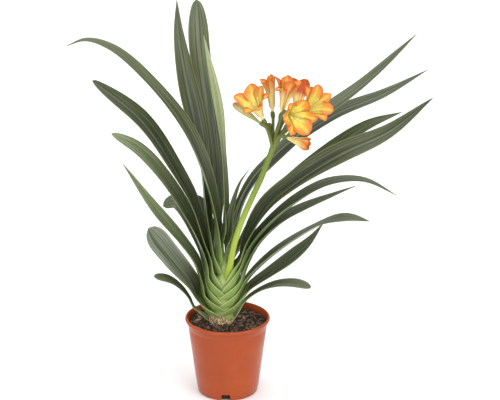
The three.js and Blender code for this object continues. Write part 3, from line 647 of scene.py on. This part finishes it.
# %% Short stem and flower stalk
UMBEL = (68, -38, 405)
ROOT = 86                      # the stem's foot, hidden in the soil
stem_path = smooth_path([stem_axis(z) for z in (ROOT, 110, 145, 180, 200, STEM["top"])])
stem = tube("short_stem", stem_path, 40, 36,
            lambda s: stem_size(lerp(ROOT, STEM["top"], s)) if s < 0.999 else (1.5, 1.5))
finished(stem, "stalk", ["flower_stalk"], STEM_GREEN)

stalk_path = smooth_path([(-3, 1, 160), (-1, -1, 178), (1, -4, 191), (3.5, -8, 204), (6.4, -14, 222),
                          (11.4, -22, 250), (22.5, -26, 287), (36, -30, 321), (51, -34, 357),
                          (61, -36, 385), UMBEL])
stalk = tube("flower_stalk_column", stalk_path, 60, 28, lambda s: (
    lerp(13.2, lerp(9.6, 8.5, s), smooth(s, 0, 0.3)) / 2 * (1 + 0.12 * smooth(s, 0.96, 1)),
    lerp(7, 6, s) / 2 * (1 + 0.2 * smooth(s, 0.96, 1))))
finished(stalk, "stalk", ["flower_stalk"], STALK_GREEN)
print("flower stalk", round(stalk_path[1][-1]), "mm along its curve")

# %% The blooms and buds: where each tube begins, where it looks and how far it opens
BLOOMS = [
    dict(node="flower_1", base=(53.4, -46, 451.3), look=(-0.38, -0.4, 0.84), start=13,
         tepals=[(345, 36, 11.4, 47, 60), (32, 34, 13, 48, 26), (86, 38, 16, 50, 24),
                 (148, 50, 11.4, 50, 20), (225, 44, 12, 38, 50), (285, 50, 11.4, 44, 30)]),
    dict(node="flower_2", base=(67.3, -22, 455.6), look=(-0.08, 0, 1), start=5, blush_and_shade=0.15,
         tepals=[(24, 4, 10, 45, 6), (84, 4, 12, 47, 10), (150, 22, 11, 44, 24),
                 (210, 24, 12.5, 43, 16), (270, 12, 10, 46, 6), (330, 2, 12, 46, 6)]),
    dict(node="flower_3", base=(80.2, -40, 459), look=(0.2, -0.1, 0.97), blush_and_shade=0.3,
         tepals=[(30, 26, 10.5, 48, 30), (100, 20, 13, 48, 20), (172, 26, 10.5, 49, 16),
                 (222, 22, 11, 44, 105), (282, 20, 17.5, 50, -6), (332, 30, 11.4, 46, -10)]),
    # This bloom faces away, so its strong reddening is mostly painted shade on its backs.
    dict(node="flower_4", base=(102.8, -6, 450), look=(0.1, 0.8, 0.62), blush_and_shade=2.0,
         tepals=[(0, 34, 10.5, 46, 30), (60, 30, 13, 46, 30), (120, 30, 10.5, 46, 30),
                 (180, 30, 13, 46, 30), (240, 32, 10.5, 46, 40), (300, 36, 13, 46, 40)]),
    dict(node="flower_5", base=(107.8, -28, 453.7), look=(0.56, -0.62, 0.54), start=13,
         tepals=[(5, 44, 13, 48, 26), (60, 42, 10.5, 50, 30), (116, 42, 13, 52, 20),
                 (158, 48, 10.5, 52, 30), (232, 44, 12, 44, 26), (312, 46, 13, 48, 26)]),
    dict(node="flower_6", base=(87, -58, 464.5), look=(0.40, -0.88, 0.14), start=17,
         tepals=[(12, 44, 11.4, 47, 16), (92, 46, 18, 46, 4), (150, 40, 11.4, 45, 20),
                 (205, 42, 15, 44, 20), (262, 48, 11.4, 46, 20), (318, 48, 18, 49, 10)]),
]
HALF_OPEN = dict(node="bud_half_open", base=(88, -52, 425), look=(0.88, -0.36, -0.2))
CLOSED = dict(node="bud_closed", base=(49, -46, 446), look=(-0.79, 0, 0.6), length=50)


def turned(bloom):
    """Puts a point of the bloom's own frame, which looks along Z, where the bloom stands."""
    turn = Vector((0, 0, 1)).rotation_difference(Vector(bloom["look"]).normalized())
    base = Vector(bloom["base"])
    return lambda p: base + turn @ Vector(p)


# %% Flower stems with their ovaries
OVARY = 11                     # length of the swelling under a bloom


def flower_stem(bloom, k):
    look = Vector(bloom["look"]).normalized()
    end = Vector(bloom["base"]) + look * 0.6
    swell = end - look * OVARY
    start = Vector(UMBEL) + Vector((0, 0, -4))
    lift = start.lerp(swell, 0.5) + Vector((0, 0, 5))
    path = smooth_path([start, lift, swell, end])
    swollen = 1 - OVARY / path[1][-1]

    def size(s):
        at = min(max((s - swollen) / (1 - swollen), 0), 1)
        r = lerp(2.7, 2.4, smooth(s, 0, 0.5)) + 1.2 * sin(pi * at) ** 0.8
        return r, r
    return tube("rib_%d" % k, path, 34, 12, size)


# stems whose blooms have dropped
SPENT = [dict(base=base, look=look) for base, look in (
    ((91, -40, 443), (0.6, -0.1, 0.8)), ((97, -27, 437), (0.7, 0.1, 0.7)),
    ((83, -30, 449), (0.2, 0.1, 0.97)), ((62, -30, 440), (-0.2, 0.1, 0.97)))]
ribs = [flower_stem(bloom, k) for k, bloom in enumerate(BLOOMS + [HALF_OPEN, CLOSED] + SPENT)]
finished(joined("flower_stems", ribs), "stalk", ["flower_stalk"], RIB_GREEN)
print("flower stems:", len(BLOOMS) + 2 + len(SPENT))

# %% [markdown]
# ## The blooms
# A clivia bloom is six overlapping tepals on a short tube: yellow in the throat, orange outside,
# redder along the edges and on the back. A tepal is a grid bent round the bloom's own axis, so the
# six nest like the staves of a barrel, with its tip rounded and its margins gently waved.


# %% Tepal finishes
def tepal_skin(name, throat, middle, tip, edge):
    mat = new_finish(name, 0.48, gloss=0.35)
    for socket, value in (("Weight", 0.35), ("Radius", (1.0, 0.7, 0.3)), ("Scale", 0.005)):
        shader_of(mat).inputs["Subsurface " + socket].default_value = value
    across = worked(mat, "ABSOLUTE", on_uv(mat, "X"))
    along = on_uv(mat, "Y")
    blush_and_shade = carried(mat, "blush_and_shade")
    body = mixed(mat, ramp(mat, along, 0.46, 0.84), throat, middle)
    body = mixed(mat, ramp(mat, along, 0.62, 1.0), body, tip)
    vein = streaks(mat, 9.0, 2.2)
    veined = worked(mat, "MULTIPLY", ramp(mat, vein, 0.42, 0.58, 0.0, 0.7),
                    ramp(mat, along, 0.35, 0.8, 0.1, 1.0))
    body = mixed(mat, veined, body, tip)
    stripe = ramp(mat, across, 0.0, 0.35, 0.35, 0.0)
    body = mixed(mat, stripe, body, throat)
    rim = worked(mat, "MAXIMUM", ramp(mat, across, 0.55, 1.0, 0.0, 0.7),
                 ramp(mat, along, 0.84, 1.0, 0.0, 0.45))
    body = mixed(mat, rim, body, edge)
    # The reddening is partly the tepals' real colour. On the bloom turned away from the light it is also
    # painted shade on the backs.
    red = worked(mat, "MULTIPLY", blush_and_shade, ramp(mat, along, 0.3, 0.8, 0.1, 1.0))
    body = mixed(mat, red, body, edge)
    colour_to(mat, body)
    relief(mat, vein, 0.0005, 0.6)
    return mat


TEPAL_IN = tepal_skin("tepal inside", throat=(1.0, 1.0, 0.20), middle=(0.80, 0.38, 0.08),
                      tip=(0.74, 0.235, 0.035), edge=(0.54, 0.10, 0.012))
TEPAL_OUT = tepal_skin("tepal back", throat=(0.98, 0.78, 0.30), middle=(0.97, 0.60, 0.19),
                       tip=(0.74, 0.22, 0.035), edge=(0.50, 0.075, 0.010))


# %% One tepal
TEPAL_THICK = 0.7
BROAD = 11.5                   # tepals with more than this half width are the inner, rounder ones


def tepal(bloom, turn, flare, half, length, curl, out=0.0, ruffle=1.6, steps=20, columns=14):
    """turn: round the tube. flare: how far it leans out. curl: how far its tip bends on."""
    place = turned(bloom)
    start = bloom.get("start", 10)
    turn, r, h, last = radians(turn), 2.7 + out, 7.0, 0.0
    rows, uv = [], []
    for i in range(steps + 1):
        t = 1 - (1 - i / steps) ** 1.35
        lean = radians(lerp(start, flare, t ** 1.25) + curl * smooth(t, 0.7, 1))
        r += length * (t - last) * sin(lean)
        h += length * (t - last) * cos(lean)
        last = t
        shape = lerp(0.34, 1, smooth(t, 0, 0.58))
        if t > 0.5:
            shape *= max(1 - (2 * t - 1) ** (4.2 if half > BROAD else 3.0), 0.002) ** 0.5
        w = min(half * shape, 0.85 * r)
        row, marks = [], []
        for j in range(columns + 1):
            v = j / columns * 2 - 1
            wave = ruffle * smooth(t, 0.3, 1) * abs(v) ** 1.5 * sin(7 * t + 2.2 * v + turn * 1.7)
            crease = 0.5 * exp(-(v / 0.16) ** 2) * (1 - 0.6 * t)
            around = v * w / r + turn
            radius = r * (1 - 0.05 * t * v * v) + crease
            row.append(place(ring_point(radius, around, h + wave)))
            marks.append((v, t))
        rows.append(row[::-1])
        uv.append(marks[::-1])
    piece = lay_grid("tepal", rows, uv)
    carry(piece, "blush_and_shade", [bloom.get("blush_and_shade", 0.1)] * len(piece.data.vertices))
    coat(piece, TEPAL_IN, TEPAL_OUT)
    thicken(piece, TEPAL_THICK, material_offset=1, material_offset_rim=1)
    return piece


def bloom_tube(bloom):
    """The short closed tube that the six tepals stand in."""
    place = turned(bloom)
    outside = [(0.05, 0), (1.5, 0), (2.2, 2.5), (2.9, 5), (3.8, 8.5), (4.5, 12)]
    inside = [(3.9, 12), (3.4, 10.6), (1.6, 9.9), (0.05, 9.7)]
    turns = full_turn(24)
    rows = [[place(ring_point(r, a, z)) for a in turns] for r, z in outside + inside]
    uv = [[(0.3, 0.35)] * len(turns)] * len(outside) + [[(0.3, 0.25)] * len(turns)] * len(inside)
    piece = close_seams(lay_grid("bloom_tube", rows, uv))
    coat(piece, TEPAL_OUT, TEPAL_IN)
    first_inside = len(outside) * len(turns)
    for face in piece.data.polygons:
        face.material_index = int(min(face.vertices) >= first_inside)
    return piece


# %% The six open blooms
def make_bloom(bloom):
    pieces = [bloom_tube(bloom)]
    for turn, flare, half, length, curl in bloom["tepals"]:
        pieces.append(tepal(bloom, turn, flare, half, length, curl, out=0 if half > BROAD else 1.1))
    return finished(joined(bloom["node"].replace("flower", "bloom"), pieces), "petal", [bloom["node"]])


for bloom in BLOOMS:
    make_bloom(bloom)
print("open blooms:", len(BLOOMS))

# %% [markdown]
# ## Stamens and style
# Out of each throat stand six thin filaments, each tipped with a pollen-yellow anther that
# balances across it, and one longer style. They are slim tubes and small rolled grains.

# %% Pollen finish
POLLEN = new_finish("pollen yellow", 0.6)
powder = grain(POLLEN, 900.0, 2.0)
colour_to(POLLEN, mixed(POLLEN, powder, (0.80, 0.70, 0.22), (0.93, 0.86, 0.46)))
relief(POLLEN, powder, 0.0003, 0.6)
THREAD = new_finish("pale filament", 0.5)
fading = ramp(THREAD, on_uv(THREAD, "Y"), 0.005, 0.03)
colour_to(THREAD, mixed(THREAD, fading, (0.98, 0.80, 0.30), (1.0, 0.95, 0.72)))


# %% Filaments, anthers and the style
def make_stamens(bloom):
    place = turned(bloom)
    pieces = []
    for k in range(7):
        style = k == 6
        turn = k * pi / 3 + 0.5
        spread = 2.5 if style else 4 + bloom["tepals"][1][1] * 0.12
        tall = 50 if style else 38 + 2.5 * sin(k * 2.1)

        def aim(r, z):
            return place(ring_point(r, turn, z))
        tip = aim(spread, tall)
        path = smooth_path([aim(0.5, 7), aim(spread * 0.3, tall * 0.5), tip])
        filament = tube("filament", path, 9, 6, lambda s: (0.5 - 0.12 * s,) * 2)
        coat(filament, THREAD)
        across = (tip - aim(spread * 0.6, tall - 1)).normalized()
        reach, fat = (0.9, 0.75) if style else (1.9, 0.85)
        path = smooth_path([tip - across * reach, tip, tip + across * reach])
        anther = tube("anther", path, 6, 8, lambda s: (max(fat * sin(pi * s) ** 0.6, 0.12),) * 2)
        coat(anther, POLLEN)
        pieces += [filament, anther]
    name = bloom["node"].replace("flower", "stamens")
    whole = joined(name.replace("stamens", "stamens_and_style"), pieces)
    return finished(whole, "stamen", [name])


for bloom in BLOOMS:
    make_stamens(bloom)
print("stamens stand in", len(BLOOMS), "blooms")

# %% [markdown]
# ## The buds
# One bud is half open: its six tepals still lie against each other. The other is closed, green with
# rusty edges, with six shallow furrows where its tepals meet.

# %% Half open bud
pieces = [bloom_tube(HALF_OPEN)]
for k in range(6):
    inner = k % 2 == 1
    pieces.append(tepal(HALF_OPEN, 12 + k * 60, 26 if inner else 30, 9.5 if inner else 8.5,
                        29, -40, out=-0.4 if inner else 0.7, ruffle=0.9))
finished(joined("half_open_bud", pieces), "bud", [HALF_OPEN["node"]])

# %% Closed bud finish
BUD_GREEN = new_finish("closed bud", 0.45, gloss=0.4)
around = worked(BUD_GREEN, "MULTIPLY", on_uv(BUD_GREEN, "X"), 6 * 2 * pi)
furrow = worked(BUD_GREEN, "COSINE", around)
up = on_uv(BUD_GREEN, "Y")
body = mixed(BUD_GREEN, ramp(BUD_GREEN, up, 0.0, 0.03), (0.24, 0.33, 0.08), (0.50, 0.52, 0.22))
body = mixed(BUD_GREEN, ramp(BUD_GREEN, furrow, 0.5, 1.0, 0.0, 0.7), body, (0.50, 0.22, 0.07))
body = mixed(BUD_GREEN, ramp(BUD_GREEN, up, 0.036, 0.05, 0.0, 0.75), body, (0.45, 0.18, 0.06))
colour_to(BUD_GREEN, body)
relief(BUD_GREEN, streaks(BUD_GREEN, 30.0, 300.0), 0.0003, 0.5)

# %% Closed bud
stand = turned(CLOSED)
rows, uv = [], []
for i in range(31):
    s = i / 30
    r = 6.0 * lerp(0.24, 1, smooth(s, -0.1, 0.66))
    if s > 0.72:
        r *= sqrt(max(1 - ((s - 0.72) / 0.28) ** 2, 0.0009))
    up, bend = s * CLOSED["length"], 2.2 * sin(pi * s) - 1.1
    ring = []
    for a in full_turn(36):
        furrowed = r * (1 - 0.09 * (0.5 + 0.5 * cos(6 * a)) ** 4)
        ring.append(stand((furrowed * cos(a), furrowed * sin(a) + bend, up)))
    rows.append(ring)
    uv.append([(k / 36, up * MM) for k in range(37)])
closed = close_seams(lay_grid("closed_bud", rows, uv))
finished(closed, "bud", [CLOSED["node"]], BUD_GREEN)
print("two buds")

# %% [markdown]
# ## The pot
# The pot is one shot of terracotta-coloured plastic: a plain cone with a rolled lip, a faint ring
# where the stacking rim begins, a small step at the foot and drainage notches cut through the
# bottom edge. It is turned like on a lathe: half its section is drawn once and spun round.

# %% Pot finish
POT_PLASTIC = new_finish("terracotta plastic", 0.26, gloss=0.30)
cloud = grain(POT_PLASTIC, 14.0, 4.0)
speck = grain(POT_PLASTIC, 700.0, 2.0)
body = mixed(POT_PLASTIC, ramp(POT_PLASTIC, cloud, 0.3, 0.7), (0.345, 0.054, 0.009),
             (0.40, 0.068, 0.013))
body = mixed(POT_PLASTIC, ramp(POT_PLASTIC, speck, 0.55, 0.8, 0.0, 0.25), body, (0.60, 0.17, 0.06))
colour_to(POT_PLASTIC, body)
relief(POT_PLASTIC, speck, 0.00015, 0.35)

# %% Spin the pot's section
POT = dict(rim=65, height=121, lip=5.5, neck=61.5, foot=46, step=9, wall=1.6, floor=2.4)
LIP_WIDE, LIP_HIGH = 2.4, 2.9  # half the rolled lip's width and height
shoulder = POT["height"] - POT["lip"]


def pot_radius(z):
    return lerp(POT["foot"] + 1.8, POT["neck"], (z - POT["step"]) / (shoulder - POT["step"]))


def wall_inside(z):
    return pot_radius(z) - POT["wall"]


section = [(0.02, 0), (44.6, 0), (45.4, 0.3), (45.9, 1.1), (46.6, 7.2), (47.0, 8.0), (47.7, 8.6),
           (pot_radius(9.4), 9.4), (pot_radius(40), 40), (pot_radius(75), 75),
           (pot_radius(104.2), 104.2), (pot_radius(104.9) - 0.4, 104.9),
           (pot_radius(105.6) - 0.5, 105.6), (pot_radius(106.3), 106.3), (61.2, 112.5),
           (61.4, 114.6), (62.0, 115.3)]
section += [(POT["rim"] + LIP_WIDE * (cos(a) - 1), POT["height"] + LIP_HIGH * (sin(a) - 1))
            for a in [radians(-72 + 18 * k) for k in range(11)]]
section += [(60.4, 118.2), (wall_inside(112), 113.5), (wall_inside(60), 60), (wall_inside(11), 11),
            (44.4, POT["floor"] + 1), (43.2, POT["floor"]), (0.02, POT["floor"])]
pot = from_points("turned_pot", [(r, 0, z) for r, z in section],
                  [(k, k + 1) for k in range(len(section) - 1)])
select_only(pot)
bpy.ops.object.mode_set(mode="EDIT")
bpy.ops.mesh.select_all(action="SELECT")
bpy.ops.mesh.spin(steps=144, angle=2 * pi, center=(0, 0, 0), axis=(0, 0, 1))
bpy.ops.object.mode_set(mode="OBJECT")
close_seams(pot)
print("pot spun:", len(pot.data.polygons), "faces")

# %% Cut the drainage notches
NOTCH = dict(count=3, turn=-93, foot=7.5, top=6.0, high=10.5)
cutters = []
for k in range(NOTCH["count"]):
    nothing_selected()
    bpy.ops.mesh.primitive_cube_add(size=1, location=(0, 0, 0))
    cutter = bpy.context.object
    a = 2 * pi * k / NOTCH["count"] + radians(NOTCH["turn"])
    for corner in cutter.data.vertices:
        x, y, z = corner.co
        wide, high = (NOTCH["foot"], -1) if z < 0 else (NOTCH["top"], NOTCH["high"])
        corner.co = Vector(ring_point(45 + 12 * x, a, high, side=wide * 2 * y)) * MM
    cutters.append(cutter)
cutter = joined("notch_cutters", cutters)
apply_modifier(pot, "BOOLEAN", operation="DIFFERENCE", object=cutter, solver="EXACT")
bpy.data.objects.remove(cutter)
pot.data.materials.clear()
finished(pot, "pot", ["pot"], POT_PLASTIC, angle=35)
print("pot with", NOTCH["count"], "notches:", len(pot.data.polygons), "faces")

# %% [markdown]
# ## The soil
# Peat is dark, moist and lumpy. A round bed is laid with its hills and hollows, then crumbs of
# three kinds are scattered over it: fine peat, darker lumps and a few tan bits of bark. Each crumb
# has only twenty faces, since there are many.

# %% Soil finishes
def earth(name, dark, light, scale):
    mat = new_finish(name, 0.92, gloss=0.25)
    coarse = grain(mat, scale, 6.0, roughness=0.7)
    fine = grain(mat, scale * 6, 4.0)
    body = mixed(mat, ramp(mat, coarse, 0.35, 0.68), dark, light)
    body = shaded(mat, ramp(mat, fine, 0.4, 0.6), body, (0.5, 0.5, 0.5))
    colour_to(mat, body)
    relief(mat, fine, 0.0006, 0.9)
    return mat


PEAT = earth("moist peat", (0.018, 0.010, 0.006), (0.30, 0.19, 0.13), 110.0)
# The darkest peat: it colours the dark lumps, and on the bed it is painted shade in the gaps between
# crumbs.
LUMP_AND_GAP_SHADE = earth("dark lump and gap shade", (0.010, 0.007, 0.005), (0.07, 0.038, 0.025), 220.0)
BARK = earth("tan bark", (0.30, 0.20, 0.11), (0.66, 0.48, 0.30), 180.0)


# %% Bed of soil
def pot_inside(z):
    at = (z - 11) / (shoulder - 11)
    return lerp(43.4, 46.2, (z - 2.4) / 8.6) if at < 0 else lerp(46.2, 59.9, at)


SOIL_EDGE, SOIL_MOUND = 112, 0.8


def soil_top(x, y):
    edge = pot_inside(SOIL_EDGE)
    out = min(hypot(x, y) / edge, 1)
    lumps = sin(x * 0.42 + 1) * sin(y * 0.47 + 2) * 0.6 + sin(x * 0.19 + y * 0.23) * 0.4
    fine = sin(x * 1.3 + 3 * sin(y * 0.9)) * sin(y * 1.5 + 2 * sin(x * 0.7)) * 0.5
    return SOIL_EDGE + SOIL_MOUND * (1 - out * out) + (1.3 * lumps + fine) * (1 - out ** 6)


CLEAR = 0.3                    # the soil keeps this far from the plastic
rows = []
for i in range(1, 47):
    r = pot_inside(SOIL_EDGE) * i / 46 - CLEAR
    rows.append([ring_point(r, a, soil_top(r * cos(a), r * sin(a))) for a in full_turn(120)])
for z in (80, 11, 2.8):
    rows.append([ring_point(pot_inside(z) - CLEAR, a, z) for a in full_turn(120)])
uv = [[(k / 120, i / 48) for k in range(121)] for i in range(len(rows))]
bed = close_seams(lay_grid("soil_bed", rows, uv))
# The bed wears the darkest finish, so the gaps between the crumbs show as painted shade.
finished(bed, "soil", ["soil"], LUMP_AND_GAP_SHADE, angle=80)


# %% Crumbs
def scatter(name, count, small, large, seed, mat, inside=57.0, around=(0, 0)):
    """Many small broken lumps, made from one ball of twenty faces, in one mesh."""
    nothing_selected()
    bpy.ops.mesh.primitive_ico_sphere_add(subdivisions=1, radius=1)
    ball = bpy.context.object
    shape = np.array([v.co[:] for v in ball.data.vertices])
    faces = np.array([f.vertices[:] for f in ball.data.polygons])
    bpy.data.objects.remove(ball)
    chance = random.Random(seed)
    points, all_faces = [], []
    while len(points) < count:
        r = inside * sqrt(chance.random())
        a = chance.uniform(0, 2 * pi)
        x, y = around[0] + r * cos(a), around[1] + r * sin(a)
        if hypot((x - STEM["x"]) / 15, (y - STEM["y"]) / 12) < 1:
            continue
        size = small + (large - small) * chance.random() ** 2.5
        stretch = np.array([chance.uniform(0.7, 1.4), chance.uniform(0.6, 1.2), chance.uniform(0.4, 0.9)])
        dents = np.array([[chance.uniform(0.7, 1.15)] for _ in shape])
        spin = chance.uniform(0, 2 * pi)
        turn = np.array([[cos(spin), -sin(spin), 0], [sin(spin), cos(spin), 0], [0, 0, 1]])
        body = (shape * dents * stretch * size) @ turn.T
        points.append(body + [x, y, soil_top(x, y) + 0.12 * size])
        all_faces.append(faces + len(shape) * (len(points) - 1))
    crumbs = from_points(name, np.concatenate(points), faces=np.concatenate(all_faces).tolist())
    return finished(crumbs, "soil", ["soil"], mat, angle=30)


scatter("peat_crumbs", 1500, 0.7, 3.4, 4, PEAT)
scatter("dark_lumps", 500, 1.0, 3.8, 7, LUMP_AND_GAP_SHADE)
scatter("bark_bits", 70, 0.7, 2.6, 11, BARK)
scatter("bark_patch", 46, 1.2, 3.2, 13, BARK, inside=7.5, around=(-46.5, 10))
print("crumbs scattered")

# %% [markdown]
# ## Dry skin at the foot
# Old leaves rot away and leave torn, papery collars round the foot of the stem.

# %% Dry skin finish
PAPER = new_finish("dry skin", 0.8)
fibre = streaks(PAPER, 46.0, 14.0)
patch = streaks(PAPER, 9.0, 30.0, 2.0)
body = mixed(PAPER, ramp(PAPER, patch, 0.42, 0.60), (0.40, 0.25, 0.11), (0.92, 0.80, 0.50))
body = shaded(PAPER, ramp(PAPER, fibre, 0.35, 0.6), body, (0.55, 0.48, 0.40))
colour_to(PAPER, body)
relief(PAPER, fibre, 0.0005, 0.8)

# %% Torn collar
SKIN_THICK = 0.5
rows, uv = [], []
for i in range(7):
    ring, marks = [], []
    for j in range(121):
        at = j / 120
        turn = radians(lerp(-146, -25, at))
        low = smooth(at, 0.45, 0.7)
        torn = lerp(14, 7, low) + 2.6 * sin(at * 23) * sin(at * 9 + 1) \
            + 3.2 * abs(sin(at * 43)) ** 3
        off = lerp(2.4, 1.2, low) + 0.6 * sin(at * 17 + i * 0.8) + lerp(2.6, 1.4, low) * i / 6
        ring.append((STEM["x"] + (18.4 + off) * cos(turn), STEM["y"] + (15.4 + off) * sin(turn),
                     111.5 + torn * i / 6))
        marks.append((at, i / 6 * 0.1))
    rows.append(ring)
    uv.append(marks)
skin = lay_grid("dry_skin", rows, uv)
thicken(skin, SKIN_THICK)
finished(skin, "dry_leaf", ["dry_leaf_base"], PAPER)
print("dry skin laid")

# %% [markdown]
# ## Papery bracts
# Where the flower stems part, a few thin bracts still stand: they once wrapped the young umbel.

# %% Bracts
BRACT_THICK = 0.35
pieces = []
for turn, length in ((200, 24), (330, 19), (80, 22)):
    rows, uv = [], []
    for i in range(13):
        t = i / 12
        out = 3.6 + 5 * t * t
        w = 3.4 * sin(pi * min(0.2 + 0.8 * t, 0.97)) ** 0.8
        ring = []
        for j in range(7):
            v = j / 3 - 1
            x, y, z = ring_point(out - 1.2 * v * v, radians(turn), length * t - 3, side=v * w)
            ring.append((UMBEL[0] + x, UMBEL[1] + y, UMBEL[2] + z))
        rows.append(ring)
        uv.append([(j / 3 - 1, t * 0.1) for j in range(7)])
    pieces.append(lay_grid("bract", rows, uv))
    thicken(pieces[-1], BRACT_THICK)
BRACT_SKIN = stalk_green("papery bract", (0.24, 0.30, 0.10), (0.42, 0.36, 0.18), 0.7, 0.02, 0.08)
finished(joined("bracts", pieces), "stalk", ["flower_stalk"], BRACT_SKIN)
print("bracts:", len(BRACT_SKIN.node_tree.nodes), "nodes in their finish")

# %% [markdown]
# ## Floor, light and camera
# A plant looks its best in a bright studio with soft shadows: a white floor, a pale surround and
# three wide lights, the strongest from the right. The camera stands three metres off and looks
# down a little.

# %% Floor
nothing_selected()
bpy.ops.mesh.primitive_plane_add(size=80, location=(0, 0, -0.0006))
floor = bpy.context.object
floor.name = "studio_floor"
FLOOR_WHITE = new_finish("studio white", 0.9, gloss=0.1)
colour_to(FLOOR_WHITE, (0.93, 0.93, 0.93))
floor.data.materials.append(FLOOR_WHITE)

# %% Surround and soft lights
world = bpy.data.worlds.new("studio")
world.use_nodes = True
back = world.node_tree.nodes["Background"]
heading = node(world, "TexCoord").outputs["Generated"]
height = node(world, "SeparateXYZ", {0: heading}).outputs["Z"]
glow = node(world, "MapRange", {"Value": height, "From Max": 0.8, "To Min": 0.22})
feed(world, back.inputs["Strength"], glow.outputs["Result"])
feed(world, back.inputs["Color"], (1, 1, 1))
bpy.context.scene.world = world


def soft_light(name, direction, strength, softness):
    """A far, wide light, so the floor is lit evenly and shadows stay soft."""
    lamp = bpy.data.lights.new(name, "SUN")
    lamp.energy = strength
    lamp.angle = radians(softness)
    linked(name, lamp).rotation_euler = Vector(direction).to_track_quat("-Z", "Y").to_euler()


soft_light("right soft light", (-0.75, 0.75, -0.9), 1.3, 50)
soft_light("top soft light", (0.15, -0.2, -1), 1.1, 70)
soft_light("front soft light", (0.35, 1, -0.3), 0.65, 35)

# %% Camera
PITCH = radians(19.83)
TARGET, DISTANCE = Vector((0.0344, 0, 0.310)), 3.0
camera_data = bpy.data.cameras.new("camera")
camera_data.sensor_width = 36
camera_data.lens = 144.1224
camera = linked("camera", camera_data)
camera.location = TARGET - DISTANCE * Vector((0, cos(PITCH), -sin(PITCH)))
camera.rotation_euler = (radians(90) - PITCH, 0, 0)
camera_data.clip_end = 50
bpy.context.scene.camera = camera
bpy.context.scene.view_settings.view_transform = "Standard"
print("camera at", [round(c, 3) for c in camera.location])
